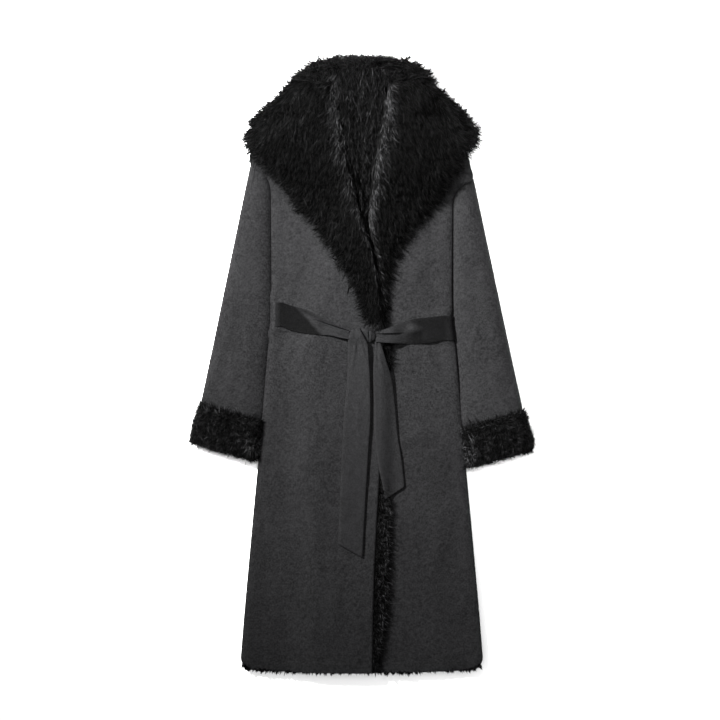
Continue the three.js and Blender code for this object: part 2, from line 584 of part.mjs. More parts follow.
// A front stretch of the belt: round the body's side, over the front and up to the knot
function beltStretch(name, side, table) {
  const across = [0, 0.2, 0.4, 0.6, 0.8, 1];
  const seat = (x, y) => {
    if (side < 0) return Math.max(...[-12, 0, 12].map((dx) => frontTop(side, x + dx, y)));
    return mix(FRONT_TOP, LAPPED_TOP, clamp((BELT_CLIMB.x - x) / BELT_CLIMB.run, 0, 1));
  };
  const grid = (inset) => {
    const middle = beltMiddle(side * BELT_SIDES.x);
    const around = [-1, -0.75, -0.5, -0.25, 0, 0.25, 0.5, 0.75, 1].map((k) => across.map((v) => {
      const y = middle + BELT_SIDES.halfBand * (1 - 2 * v);
      const a = (k * Math.PI) / 2;
      const out = BELT_CLEAR + inset;
      const radius = a < 0 ? UNDER_ROUND : UPPER_ROUND;
      const rise = a < 0 ? SEAM_HEIGHT : FRONT_TOP - SEAM_HEIGHT;
      const x = halfWidth(side, y) + out - (radius + out) * (1 - Math.cos(a));
      const floor = a < 0 ? BELT_LIFT * Math.abs(Math.sin(a)) : 0;
      return new THREE.Vector3(side * x, y, SEAM_HEIGHT + (rise + out) * Math.sin(a) + floor);
    }));
    const over = table.map((row) => across.map((v) => {
      const y = mix(row.top, row.bottom, v);
      const close = clamp((BELT_CLOSE.reach - Math.abs(row.x - KNOT.x)) / BELT_CLOSE.run, 0, 1);
      const fold = inset > 0 ? close * BELT_GATHER * Math.sin(v * Math.PI * 3) ** 2 : 0;
      return new THREE.Vector3(row.x, y, seat(row.x, y) + BELT_CLEAR + inset + fold);
    }));
    return [...around, ...over];
  };
  return wall(name, grid(CLOTH), grid(0), "belt");
}

function beltBack() {
  const columns = [-1, -0.5, 0, 0.5, 1];
  const grid = (z) => columns.map((t) => {
    const x = t * BELT_BEHIND.halfLength;
    return [-1, 1].map((side) => new THREE.Vector3(x, beltMiddle(x) + side * BELT_BEHIND.halfBand, z));
  });
  return wall("belt_back", grid(CLOTH), grid(0), "belt");
}

function beltTail(name, table, slope) {
  const across = [0, 0.25, 0.5, 0.75, 1];
  const grid = (inset) => table.map((row, i) => across.map((v) => {
    const x = mix(row.lx, row.rx, v);
    const y = mix(row.ly, row.ry, v);
    const ridge = TAIL_GATHER * Math.exp(-i * 0.55) * Math.sin(v * Math.PI * 2) ** 2;
    const droop = slope * clamp((x - TAIL_DROOP.x) / TAIL_DROOP.run, 0, 1);
    const z = LAPPED_TOP + BELT_CLEAR - droop + inset;
    return new THREE.Vector3(x, y, z + (inset > 0 ? ridge : 0));
  }));
  return wall(name, grid(CLOTH), grid(0), "belt");
}

// The knot: a soft lump with a slanting crease across it
const KNOT_POWER = 0.62;
const KNOT_CREASE = { acrossX: 1.3, acrossY: 0.9, from: 0.15, width: 0.16, depth: 0.16 };

function beltKnot() {
  const sphere = new THREE.SphereGeometry(1, 18, 12);
  sphere.deleteAttribute("normal");
  sphere.deleteAttribute("uv");
  const ball = mergeVertices(sphere, 1e-5);
  const position = ball.getAttribute("position");
  const power = (v) => Math.sign(v) * Math.abs(v) ** KNOT_POWER;
  const points = [];
  for (let i = 0; i < position.count; i += 1) {
    const v = new THREE.Vector3().fromBufferAttribute(position, i);
    const across = v.x * KNOT_CREASE.acrossX + v.y * KNOT_CREASE.acrossY - KNOT_CREASE.from;
    const groove = 1 - KNOT_CREASE.depth * Math.exp(-((across / KNOT_CREASE.width) ** 2)) * Math.max(v.z, 0);
    const lump = new THREE.Vector3(
      KNOT.halfX * power(v.x), KNOT.halfY * power(v.y), KNOT.halfZ * power(v.z) * groove);
    points.push(lump.add(new THREE.Vector3(KNOT.x, KNOT.y, KNOT.z)));
  }
  const faces = [];
  const index = ball.getIndex().array;
  for (let i = 0; i < index.length; i += 3) {
    const tri = index.slice(i, i + 3);
    if (new Set(tri).size === 3) faces.push(...tri);
  }
  return solid("belt_knot", points, faces, "belt");
}

const coat = new THREE.Group();
coat.add(
  backPanel(), backLining(),
  frontLining("left_front_lining", 1), front("left_front", 1),
  frontLining("right_front_lining", -1), front("right_front", -1),
);
SLEEVES.forEach((s) => coat.add(sleeveHalf(s, "top"), sleeveHalf(s, "under"), cuff(s)));
coat.add(
  lapel("right_lapel", LAPEL_RIGHT), lapel("left_lapel", LAPEL_LEFT),
  collarBack(), collarFall(),
  beltStretch("belt_right", -1, BELT_RIGHT), beltStretch("belt_left", 1, BELT_LEFT), beltBack(),
  beltKnot(), beltTail("belt_tail_right", TAIL_RIGHT, 0), beltTail("belt_tail_left", TAIL_LEFT, 5),
);

// The origin is at the middle of the coat's underside
const extent = new THREE.Box3().setFromObject(coat);
const centre = extent.getCenter(new THREE.Vector3());
coat.position.set(-centre.x, -centre.y, -extent.min.z);

export default coat;
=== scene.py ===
"""The looks of a long wrap coat laid flat: charcoal cloth, black fur and a tied belt.

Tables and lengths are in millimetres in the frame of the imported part, and pieces are made in
metres. X runs across the coat, Y from hem to collar, Z up. Left and right are the wearer's, and a
side is -1 for the right and 1 for the left.
"""

import math

import bpy
import numpy as np
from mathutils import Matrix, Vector

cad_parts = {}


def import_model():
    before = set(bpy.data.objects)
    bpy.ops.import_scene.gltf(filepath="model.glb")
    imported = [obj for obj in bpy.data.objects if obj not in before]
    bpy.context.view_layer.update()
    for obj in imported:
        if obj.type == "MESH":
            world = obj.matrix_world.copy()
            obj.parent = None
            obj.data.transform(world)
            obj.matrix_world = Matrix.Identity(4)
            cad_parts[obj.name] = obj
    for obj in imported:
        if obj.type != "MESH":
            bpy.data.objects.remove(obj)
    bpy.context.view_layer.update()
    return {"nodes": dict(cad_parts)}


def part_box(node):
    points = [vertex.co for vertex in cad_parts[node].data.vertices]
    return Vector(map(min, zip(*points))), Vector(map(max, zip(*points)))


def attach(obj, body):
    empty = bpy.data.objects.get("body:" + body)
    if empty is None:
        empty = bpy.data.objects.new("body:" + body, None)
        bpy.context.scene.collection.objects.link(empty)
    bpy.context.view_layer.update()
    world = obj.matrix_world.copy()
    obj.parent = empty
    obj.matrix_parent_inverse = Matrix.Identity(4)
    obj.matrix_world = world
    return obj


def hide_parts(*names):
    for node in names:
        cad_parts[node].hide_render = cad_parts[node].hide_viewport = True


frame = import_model()


def table(columns, *rows):
    """A short table as a named array for each column."""
    return dict(zip(columns.split(), np.array(rows, float).T))


MM = 0.001
CLOTH = 2.4
GAP = 0.3
PILE = 10.0

# Body
HEM = -640.0
NECK = 530.0
HEM_HALF = 257.0
HEM_BOW = 6.0
HEM_CORNER = 28.0
HEM_SEAM = 24.0
HEM_GROOVE = 0.7
SIDE_X = 190.0
SHOULDER_SLOPE = 9.0
SEAM_HEIGHT = 16.0
UNDER_ROUND = 26.0
UPPER_ROUND = 22.0
LINING_INSET = 8.0
WAIST_PINCH = 2.0
SIDE_FOLD = 3.8
SIDE_FOLD_EDGE = -177.0
SIDE_FALL = 4.0
SIDE_FALL_REACH = 75.0
RAMP_START = 105.0
RAMP_END = 30.0
RELIEF = 1.5

# Heights of the layers, from the floor up
BACK_LINING_TOP = CLOTH + GAP + PILE
FRONT_LINING_LOW = BACK_LINING_TOP + GAP
FRONT_LINING_TOP = FRONT_LINING_LOW + PILE
FRONT_TOP = FRONT_LINING_TOP + GAP + CLOTH
OVERLAP_RISE = FRONT_TOP + GAP - FRONT_LINING_LOW
LAPPED_TOP = FRONT_TOP + OVERLAP_RISE

# Sleeves and cuffs
SLEEVE_THICKNESS = 22.0
SLEEVE_TIP = 5.0
SLEEVE_ROUND = 26.0
SLEEVE_INNER_ROUND = 72.0
SLEEVE_HEAD = 365.2
SLEEVE_OUTER_X = (237.5, 339.0)
SLEEVE_TUCK = 2.5
HEAD_RISE = {-1: 0.042, 1: 0.036}
HEAD_TUCK = 9.0
HEAD_BULGE = 5.0
CUFF_UNDER = 8.0
CUFF_OVER = 11.0
CUFF_INSET = 7.0
CUFF_LENGTH = 84.0
CUFF_ROUND = 24.0
CUFF_TIP = 12.0
CUFF_BASE_DROP = 5.0
CUFF_LIFT = 0.4
SLEEVES = {
    "right": dict(side=-1, shift=26.0, outer_top=414.6, outer_end=-77.0, inner_end=-114.0),
    "left": dict(side=1, shift=0.0, outer_top=387.2, outer_end=-91.0, inner_end=-129.0),
}

# Fur
FLOOR_CLEAR = 0.4
FUR_HIGHEST = 87.0
HEM_TUCK = 5.0
FALL_THICKNESS = 14.7
ROLL_OUT = 1.5
DOME_TOP = 629.0
LAPEL_DROP = 11.5
DOWN = np.array([0.0, -1.0, 0.0])

# A lock of fur: two rings of three points and a tip
LOCK_STEPS = np.array([0.0, 0.55, 1.0])
LOCK_TAPER = np.array([1.0, 0.74])
LOCK_TONES = np.array([0.25] * 3 + [0.76] * 3 + [1.0])
LOCK_POINTS = len(LOCK_TONES)
LOCK_QUADS = np.array([(k, (k + 1) % 3, 3 + (k + 1) % 3, 3 + k) for k in range(3)])
LOCK_TIPS = np.array([(3 + k, 3 + (k + 1) % 3, 6) for k in range(3)])
# Raggedness from which locks also bunch into small tufts
TUFTED = 0.3

# Belt
BELT_MIDDLE = {-1: 107.0, 1: 78.5}
BELT_HALF = 25.5
BELT_LIFT = 3.0
BELT_CLEAR = 0.5
BELT_DROOP = {-1: 9.0, 1: 6.5}
KNOT_X, KNOT_Y = 1, 62
KNOT_HALF_X, KNOT_HALF_Y = 29, 15.5
KNOT_LOW = 41.5
KNOT_TOP = 43.5

# Floor, light and camera. The floor's lengths and the heights are in metres
FLOOR_SIZE = 14
FLOOR_DROP = 0.0005
SKY_LIGHT = 1.1
PIXEL = 2.1
FRAME_PIXELS = 720
CAMERA_HEIGHT = 5.2
SUBJECT_HEIGHT = 0.03
CAMERA_MIDDLE = (-4.2, 11.5)
SENSOR = 36.0

BODY = table(
    "y half",
    (-640, 257), (-520, 247.5), (-420, 238.5), (-320, 229.5), (-200, 218), (-108, 210),
    (-51, 205), (20, 199), (60, 195), (90, 191), (160, 190), (345, 191.5), (366, 197),
    (381, 214), (389, 233), (402, 236), (432, 236), (450, 222), (480, 178), (530, 96),
)
# Edge of the front that laps over, of its lining's strip and of the front that lies under
EDGES = table(
    "y over strip under",
    (-640, 22, 44, -60), (-520, 23.5, 56, -60), (-420, 26.5, 60.5, -60), (-320, 31.5, 62.5, -60),
    (-200, 39, 62.5, -60), (60, 43, 62, -60), (90, 41, 44, -55), (160, 34, 34, -35),
    (225, 21, 21, -12), (290, 4, 4, 12), (345, -13, -13, 20), (432, -30, -30, 33),
    (530, -48, -48, 49),
)
LIFT = table("y z", (345, 0), (381, 7), (415, 15), (530, 15))
BELT_RIGHT = table(
    "x top bottom",
    (-150, 126, 74), (-135, 122, 70), (-112, 116, 66), (-90, 105, 64), (-67, 92, 63),
    (-45, 81, 58), (-27, 75, 55),
)
BELT_LEFT = table(
    "x top bottom",
    (140, 101, 46), (109, 97.6, 45), (80, 88, 46), (60, 80, 47), (44, 75, 48), (29, 71, 49),
)
# Left and right edge of a tail, from the knot down
TAIL_RIGHT = table(
    "lx ly rx ry",
    (-21, 75, -5, 79), (-26, 66, 0, 68), (-28.5, 54, 6, 56), (-29.4, 43, 12, 43),
    (-30, 10, 14.5, 10), (-31.5, -30, 17, -30), (-38, -106, 18, -106), (-41, -159, 15, -159),
    (-44, -234, 10.5, -234), (-48, -320, 5, -328), (-50, -374, 1.3, -403),
)
TAIL_LEFT = table(
    "lx ly rx ry",
    (27, 50, 38, 50), (26.5, 33, 45, 30), (24.5, 8, 52.5, 6), (23, -30, 63, -30),
    (24, -81, 69.5, -81), (26, -144, 75, -144), (33.6, -205, 84, -201), (42, -245, 87.5, -232),
    (49.6, -281, 89.2, -254.5),
)
# How high a tail stands at its two edges
TAIL_RIGHT_RISE = table(
    "y left right",
    (-403, 1.6, 1.6), (-320, 2.2, 2.6), (-234, 2.4, 4.2), (-106, 2.6, 6.4), (-30, 3.0, 8.6),
    (20, 4.0, 10.5), (44, 6.0, 11.5), (60, 12.0, 13.0), (70, 11.0, 12.0), (76, 7.0, 9.0),
    (80, 2.0, 4.0),
)
TAIL_LEFT_RISE = table(
    "y left right",
    (-281, 0.4, 0.4), (-200, 0.4, 0.6), (-81, 0.5, 1.0), (-30, 0.8, 2.6), (10, 1.4, 4.4),
    (33, 2.5, 5.5), (50, 4.0, 6.0),
)
# A lapel's outer edge, its rolled edge and its thickness, from the dome down
LAPEL_RIGHT = table(
    "ox oy rx ry fur",
    (-86, 646, -63, 612, 16), (-128, 620, -60, 600, 26), (-172, 579, -54, 575, 30),
    (-216, 537, -47, 548, 31), (-246, 500, -42, 520, 31), (-250, 474, -38, 497, 31),
    (-238, 447, -33, 472, 31), (-219, 424, -28, 446, 31), (-188, 394, -23, 418, 31),
    (-153, 359, -17, 388, 31), (-143, 335, -11, 358, 31), (-113, 306, -3, 325, 30),
    (-76, 253, 8, 288, 29), (-53, 217, 19, 252, 27), (-36, 188, 28, 215, 25),
    (-20, 153, 36, 172, 22), (-2, 108, 43, 118, 19), (8, 88, 40, 92, 12),
)
LAPEL_LEFT = table(
    "ox oy rx ry fur",
    (92, 646, 59, 612, 16), (134, 620, 57, 600, 26), (173, 579, 52, 575, 30),
    (213, 537, 47, 548, 31), (242, 500, 43, 520, 31), (246, 476, 38, 497, 31),
    (235, 454, 33, 470, 31), (215, 431, 29, 443, 31), (190, 386, 23, 400, 30),
    (162, 344, 19, 365, 29), (124, 301, 14, 325, 27), (101, 266, 15, 280, 25),
    (80, 234, 26, 243, 23), (66, 200, 34.5, 203, 21), (56, 166, 40.5, 165, 17),
    (53, 121, 46, 118, 14), (51, 98, 45.5, 98, 9),
)
COLLAR_BACK = table(
    "y left right low top",
    (300, 2, 6, 28.3, 32), (335, -3, 12, 28.3, 36), (380, -12, 18, 28.3, 41),
    (430, -23, 26, 28.3, 46), (480, -32, 34, 28.3, 50), (531, -42, 43, 28.3, 54),
    (548, -45, 45, 27, 56), (575, -52, 50, 15.2, 58), (612, -61, 57, 15.2, 57),
    (630, -72, 73, 15.2, 50), (644, -80, 86, 15.2, 38), (652, -62, 70, 15.2, 24),
)
FALL = table(
    "y half",
    (424, 120), (432, 165), (450, 205), (474, 232), (498, 233), (537, 203), (579, 163),
    (612, 124), (634, 92), (645, 50),
)
# The cuff's outline down its length: how far it swells out, and its share of the full height
CUFF_OUT = table(
    "along out proud", (0, 1, 0.55), (14, 5, 1), (44, 7, 1), (68, 6, 0.95), (84, 0, 0.7),
)

# Creases: middle, heading in degrees, half length, half width and height
CREASES = table(
    "x y heading length width height",
    (-168, 158, 75, 26, 7, 2.2), (-150, 150, 62, 20, 6, 1.6), (178, 135, 88, 30, 6, 2),
    (168, 128, 84, 22, 4, -1.2), (140, 20, -62, 46, 10, 1.8), (115, -150, 24, 60, 12, 1.6),
    (-120, 30, 70, 48, 10, 1.8), (-120, -210, 84, 130, 16, 1.4), (150, -170, 32, 44, 8, -1),
    (95, 5, -72, 40, 7, 1.2), (-75, 15, 78, 36, 7, -1.1), (-155, 25, 60, 34, 8, 1.2),
    (160, -380, 80, 120, 18, 1.2), (-160, -430, 96, 130, 20, 1.1), (-60, -520, 88, 90, 14, 0.9),
    (120, 200, 66, 70, 14, 1.1), (-150, 230, 112, 60, 13, 1.1), (-120, 190, 70, 44, 9, -0.9),
)
SLEEVE_CREASES = table(
    "x y heading length width height",
    (262, 200, 60, 40, 9, 1.3), (285, 90, 72, 60, 11, 1.2), (275, -20, 96, 50, 12, 1.4),
    (312, -40, 70, 38, 9, -1.1), (240, 60, 84, 44, 8, 1.2), (228, 330, 58, 34, 8, 1.3),
)
BELT_FOLDS = table(
    "x y heading length width height",
    (-96, 90, -40, 26, 6.0, 3.0), (-62, 70, -12, 46, 6.0, 1.6), (-128, 96, 60, 20, 7, -1.0),
    (46, 60, -12, 30, 3.5, 1.6), (102, 74, 30, 24, 9, 3.4), (128, 66, 82, 22, 8, -0.9),
    (-17, 20, 82, 60, 3.0, 1.2), (3, 30, 104, 46, 2.6, 1.2), (-9, 36, 96, 34, 2.2, -1.0),
    (-8, -120, 88, 150, 6, 0.5), (-30, -250, 84, 110, 9, 0.5), (-12, -330, 70, 50, 8, 0.4),
    (40, 6, 104, 40, 2.4, 1.2), (33, 16, 98, 26, 2.0, -0.8), (52, -100, 96, 90, 6, 0.6),
    (60, -190, 70, 50, 8, 0.5),
)
# Lips where a fold of the belt lies over its next one: as above, with the reach of the slope
BELT_LIPS = table(
    "x y heading length reach height",
    (-58, 84, -18.5, 66, 8, 9.0), (58, 68, 2, 40, 9, 5.5), (38, 60, -20, 16, 5, 1.5),
)
# Creases of the knot's wrapped turn
KNOT_FOLDS = table(
    "x y slant width depth",
    (15.5, 55, 92, 1.4, 4.0), (23, 62, 80, 2.4, 1.2), (9, 72, 150, 2.0, 1.6),
)


def shift_of_frame():
    """How far the part's middle was moved along X when its origin was set, in millimetres."""
    low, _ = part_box("belt_tail_right")
    return low[0] / MM - TAIL_RIGHT["lx"].min()


SHIFT = np.array([shift_of_frame(), 0.0, 0.0])


# Plain shaping functions
def mix(a, b, t):
    return a + (b - a) * t


def smooth(t):
    t = np.clip(t, 0, 1)
    return t * t * (3 - 2 * t)


def after(v, start, run):
    """0 up to a start, 1 from a run past it."""
    return smooth((v - start) / run)


def before(v, end, run):
    """1 until a run short of an end, 0 from the end on."""
    return smooth((end - v) / run)


def bell(distance, width):
    return np.exp(-((distance / width) ** 2))


def curve_round(distance, radius):
    """Quarter round: 0 at the edge, 1 once the distance reaches the radius."""
    return np.sqrt(np.maximum(0, 1 - (1 - np.clip(distance / radius, 0, 1)) ** 2))


def steps_down(count, start=0, end=1):
    """Even steps as a column, for the rows of a grid."""
    return np.linspace(start, end, count)[:, None]


def steps_across(count, start=0, end=1):
    return np.linspace(start, end, count)[None]


def rounded_shares(count):
    """Shares from 0 to 1 across a flattened tube, closer together at both ends."""
    return (1 - np.cos(np.linspace(0, math.pi, count)))[None] / 2


def soft(rows, key, at, column, reach):
    """A table's column at a place, with its corners rounded off."""
    steps = np.linspace(-reach, reach, 7)
    places = (np.asarray(at, float) + step for step in steps)
    return sum(np.interp(place, rows[key], rows[column]) for place in places) / len(steps)


def through(rows, column, share):
    """A smooth curve through a table's rows, at shares of its length."""
    values = rows[column]
    at = np.clip(np.asarray(share, float), 0, 1) * (len(values) - 1)
    i = np.minimum(at.astype(int), len(values) - 2)
    t = at - i
    ends = np.concatenate([[2 * values[0] - values[1]], values, [2 * values[-1] - values[-2]]])
    a, b, c, d = ends[i], ends[i + 1], ends[i + 2], ends[i + 3]
    return b + 0.5 * t * (c - a + t * (2 * a - 5 * b + 4 * c - d + t * (3 * (b - c) + d - a)))


def belt_middle(x):
    return mix(BELT_MIDDLE[-1], BELT_MIDDLE[1], np.clip((x + SIDE_X) / (2 * SIDE_X), 0, 1))


def belt_band(x, y):
    """1 under the belt, 0 away from it."""
    return before(np.abs(y - belt_middle(x)), 36, 9)


def body_edge(y):
    return soft(BODY, "y", y, "half", 4.0)


def loose_width(side, y):
    """Half width of the body on one side, with the hem's round corner."""
    y = np.asarray(y, float)
    if side < 0:
        moved = SLEEVES["right"]["shift"] * after(y, 320, 50) * np.clip((450 - y) / 18, 0, 1)
        half = body_edge(y - moved)
    else:
        half = body_edge(y) - SHOULDER_SLOPE * after(y, 392, 34) * before(y, 462, 30)
    corner = np.clip((HEM_CORNER - (y - HEM)) / HEM_CORNER, 0, 1)
    return half - HEM_CORNER * (1 - np.sqrt(1 - corner ** 2))


def half_width(side, y):
    return loose_width(side, y) - WAIST_PINCH * belt_band(side * SIDE_X, y)


def hem_bow(x, y):
    return HEM_BOW * (1 - (x / HEM_HALF) ** 2) * before(y, -500, 140)


def lift(y):
    """How far the shoulders stand off the floor, on the collar's fall."""
    return soft(LIFT, "y", y, "z", 6.0)


def edge_at(y, column):
    return soft(EDGES, "y", y, column, 12.0)


def overlap_rise(x, y):
    """How far the lapping front stands up over the other one."""
    start = edge_at(y, "under") - RAMP_START
    return OVERLAP_RISE * after(x, start, RAMP_START - RAMP_END)


def line_places(x, y, cx, cy, heading):
    """Places along a line through a middle, and across it."""
    c, s = math.cos(math.radians(heading)), math.sin(math.radians(heading))
    return (x - cx) * c + (y - cy) * s, (y - cy) * c - (x - cx) * s


def crease_height(rows, x, y):
    """Soft bowed ridges, and troughs where the height is negative."""
    total = np.zeros(np.broadcast(x, y).shape)
    for cx, cy, heading, length, width, height in zip(*rows.values()):
        along, across = line_places(x, y, cx, cy, heading)
        bent = across + 0.0012 * along ** 2 * np.sign(height)
        total = total + height * (1 - smooth(np.abs(along) / length)) * bell(bent, width)
    return total


def lip_height(rows, x, y):
    """Folds that end in a sharp lip along a line, and lie down again above it."""
    total = np.zeros(np.broadcast(x, y).shape)
    for cx, cy, heading, length, reach, height in zip(*rows.values()):
        along, across = line_places(x, y, cx, cy, heading)
        step = np.where(across > 0, np.exp(-across / reach), bell(across, 0.8))
        total = total + height * (1 - smooth(np.abs(along) / length)) * step
    return total


def undulation(x, y, seed, height=0.32):
    """Gentle unevenness of laid cloth, from a few long waves in random directions."""
    rng = np.random.default_rng(seed)
    total = np.zeros(np.broadcast(x, y).shape)
    for wavelength in (240, 170, 120, 85, 60, 44):
        a = rng.uniform(0, math.pi)
        phase = rng.uniform(0, 2 * math.pi)
        wave = np.sin(2 * math.pi * (x * math.cos(a) + y * math.sin(a)) / wavelength + phase)
        total = total + height * (wavelength / 150) ** 0.6 * wave
    return total


# Mesh making
def add_tone(mesh, tone):
    layer = mesh.attributes.new("tone", "FLOAT", "POINT")
    layer.data.foreach_set("value", np.asarray(tone, np.float32))


def new_piece(name, points, faces, material, tone=None):
    """A piece from points in millimetres and faces of three or four corners."""
    points = (np.asarray(points, float).reshape(-1, 3) + SHIFT) * MM
    mesh = bpy.data.meshes.new(name)
    mesh.vertices.add(len(points))
    mesh.vertices.foreach_set("co", points.astype(np.float32).ravel())
    sizes = np.concatenate([np.full(len(f), f.shape[1]) for f in faces])
    loops = np.concatenate([f.ravel() for f in faces]).astype(np.int32)
    mesh.loops.add(len(loops))
    mesh.loops.foreach_set("vertex_index", loops)
    mesh.polygons.add(len(sizes))
    starts = np.concatenate([[0], np.cumsum(sizes)[:-1]]).astype(np.int32)
    mesh.polygons.foreach_set("loop_start", starts)
    mesh.polygons.foreach_set("loop_total", sizes.astype(np.int32))
    mesh.polygons.foreach_set("use_smooth", np.ones(len(sizes), bool))
    if tone is not None:
        add_tone(mesh, tone)
    mesh.update(calc_edges=True)
    mesh.validate()
    piece = bpy.data.objects.new(name, mesh)
    bpy.context.scene.collection.objects.link(piece)
    mesh.materials.append(material)
    return piece


def grid_points(x, y, z):
    return np.stack(np.broadcast_arrays(x, y, z), axis=-1).astype(float)


def wall_faces(rows, cols, closed):
    """Faces of a closed wall between an outer grid of points and an inner one after it."""
    step = rows * cols
    span = cols if closed else cols - 1
    i, j = np.meshgrid(np.arange(rows - 1), np.arange(span), indexing="ij")
    k = (j + 1) % cols
    a, b, c, d = i * cols + j, i * cols + k, (i + 1) * cols + k, (i + 1) * cols + j
    faces = [np.stack([a, b, c, d], -1).reshape(-1, 4)]
    faces.append(np.stack([a, d, c, b], -1).reshape(-1, 4) + step)
    j = np.arange(span)
    k = (j + 1) % cols
    top = (rows - 1) * cols
    faces.append(np.stack([j, j + step, k + step, k], -1))
    faces.append(np.stack([top + j, top + k, top + k + step, top + j + step], -1))
    if not closed:
        i = np.arange(rows - 1) * cols
        faces.append(np.stack([i, i + cols, i + cols + step, i + step], -1))
        right = i + cols - 1
        faces.append(np.stack([right, right + step, right + cols + step, right + cols], -1))
    return np.concatenate(faces)


def closed_form(outer, inner, closed):
    """Points of the body between two grids, and its faces, turned to point out."""
    points = np.concatenate([outer.reshape(-1, 3), inner.reshape(-1, 3)])
    faces = wall_faces(*outer.shape[:2], closed)
    a, b, c, d = (points[faces[:, k]] for k in range(4))
    volume = (a * np.cross(b, c)).sum() + (a * np.cross(c, d)).sum()
    return points, faces if volume > 0 else faces[:, ::-1]


def wall(name, outer, inner, material, closed=False):
    points, faces = closed_form(outer, inner, closed)
    return new_piece(name, points, [faces], material)


def unit(v):
    return v / np.maximum(np.linalg.norm(v, axis=-1, keepdims=True), 1e-9)


def scatter(grid, flow, count, rng, middle):
    """Random places on a grid of points: their positions, normals, flow and place in the grid.

    The normals point up, or away from a middle where one is given.
    """
    a, b, c, d = grid[:-1, :-1], grid[:-1, 1:], grid[1:, 1:], grid[1:, :-1]
    normal = np.cross(c - a, d - b)
    area = np.linalg.norm(normal, axis=-1)
    away = np.array([0, 0, 1.0]) if middle is None else (a + c) / 2 - middle
    normal = unit(normal) * np.where((normal * away).sum(-1) < 0, -1, 1)[..., None]
    cell = rng.choice(area.size, count, p=(area / area.sum()).ravel())
    i, j = np.unravel_index(cell, area.shape)
    u, v = rng.random(count), rng.random(count)

    def between(values):
        p, q = values[i, j], values[i, j + 1]
        r, s = values[i + 1, j], values[i + 1, j + 1]
        return mix(mix(p, q, v[:, None]), mix(r, s, v[:, None]), u[:, None])

    rows, cols = area.shape
    return between(grid), normal[i, j], unit(between(flow)), (i + u) / rows, (j + v) / cols


def drift(points, seed, wavelength):
    """A smooth random field over the points, so that neighbouring locks move alike."""
    rng = np.random.default_rng(seed)
    total = 0
    for _ in range(7):
        way = unit(rng.normal(0, 1, 3)) * 2 * math.pi / (wavelength * rng.uniform(0.6, 1.6))
        total = total + np.sin(points @ way + rng.uniform(0, 2 * math.pi))
    return total / 2.4


def locks(roots, normals, flow, length, radius, lean, rng, curl):
    """Points of curved tapering locks of fur."""
    count = len(roots)
    side = unit(np.cross(normals, flow))
    clump = drift(roots, 3, 22.0) * 0.6 + drift(roots, 4, 9.0) * 0.8
    turn = (rng.normal(0, 0.6, count) + clump)[:, None] * curl
    start = unit(flow * np.cos(lean)[:, None] + normals * np.sin(lean)[:, None] + side * turn)
    sag = normals * (0.55 * np.sin(lean))[:, None]
    bend = side * rng.normal(0, curl * 1.2, (count, 1)) - sag
    length = length[:, None, None]
    t = LOCK_STEPS[None, :, None]
    line = roots[:, None] + length * (t * start[:, None] + t * t * bend[:, None] * 0.6)
    phases = [rng.uniform(0, 6.28, (count, 1, 1)) for _ in range(2)]
    wave = np.sin(t * 6.0 + phases[0]) - np.sin(phases[1])
    line = line + side[:, None] * wave * t * length * 0.05
    across = unit(np.cross(start, rng.normal(0, 1, (count, 3))))
    other = unit(np.cross(start, across))
    angles = (np.arange(3) * 2 * math.pi / 3)[None, :, None]
    ring = across[:, None] * np.cos(angles) + other[:, None] * np.sin(angles)
    thick = radius[:, None, None, None] * LOCK_TAPER[None, :, None, None]
    rings = line[:, :2, None] + ring[:, None] * thick
    points = np.concatenate([rings.reshape(count, 6, 3), line[:, 2:]], axis=1)
    points[..., 2] = np.clip(points[..., 2], FLOOR_CLEAR, FUR_HIGHEST)
    return points


def grow(grid, flow, count, seed, length, width, lean, curl, bright=1.0, keep=None, middle=None,
         ragged=0.18):
    """Locks over a grid, uneven in length, lean and brightness: their points and tones.

    They lean up from the surface by degrees. The brightness may be a function of the place in the
    grid, and keep chooses places.
    """
    rng = np.random.default_rng(seed)
    places = scatter(grid, flow, count, rng, middle)
    if keep is not None:
        chosen = keep(places[3], places[4], places[0])
        places = [part[chosen] for part in places]
    roots, normals, way, u, v = places
    count = len(roots)
    clump = drift(roots, 7, 12.0)
    uneven = clump + (drift(roots, 8, 7.0) if ragged > TUFTED else 0)
    sizes = length * rng.uniform(0.6, 1.15, count) * np.clip(1 + ragged * uneven, 0.3, 1.8)
    radius = width * rng.uniform(0.6, 1.3, count)
    tilt = np.radians(np.clip(lean + rng.normal(0, 9, count), 4, 80))
    level = bright(u, v) if callable(bright) else bright
    tone = np.clip(rng.beta(1.3, 3.6, count) * (1 + 0.45 * clump) * level, 0.02, 2.4)
    points = locks(roots, normals, way, sizes, radius, tilt, rng, curl)
    return points, tone[:, None] * LOCK_TONES


def fur_piece(name, top, bottom, tufts, closed=False):
    """One mesh of a fur piece: its closed base form and the locks that grow from it."""
    base, faces = closed_form(top, bottom, closed)
    points, tones, quads, tips = [base], [np.zeros(len(base))], [faces], []
    start = len(base)
    for lock_points, lock_tones in tufts:
        first = start + LOCK_POINTS * np.arange(len(lock_points))[:, None, None]
        quads.append((first + LOCK_QUADS).reshape(-1, 4))
        tips.append((first + LOCK_TIPS).reshape(-1, 3))
        points.append(lock_points.reshape(-1, 3))
        tones.append(lock_tones.ravel())
        start += LOCK_POINTS * len(lock_points)
    faces = [np.concatenate(quads), np.concatenate(tips)]
    return new_piece(name, np.concatenate(points), faces, FUR_LOOK, np.concatenate(tones))


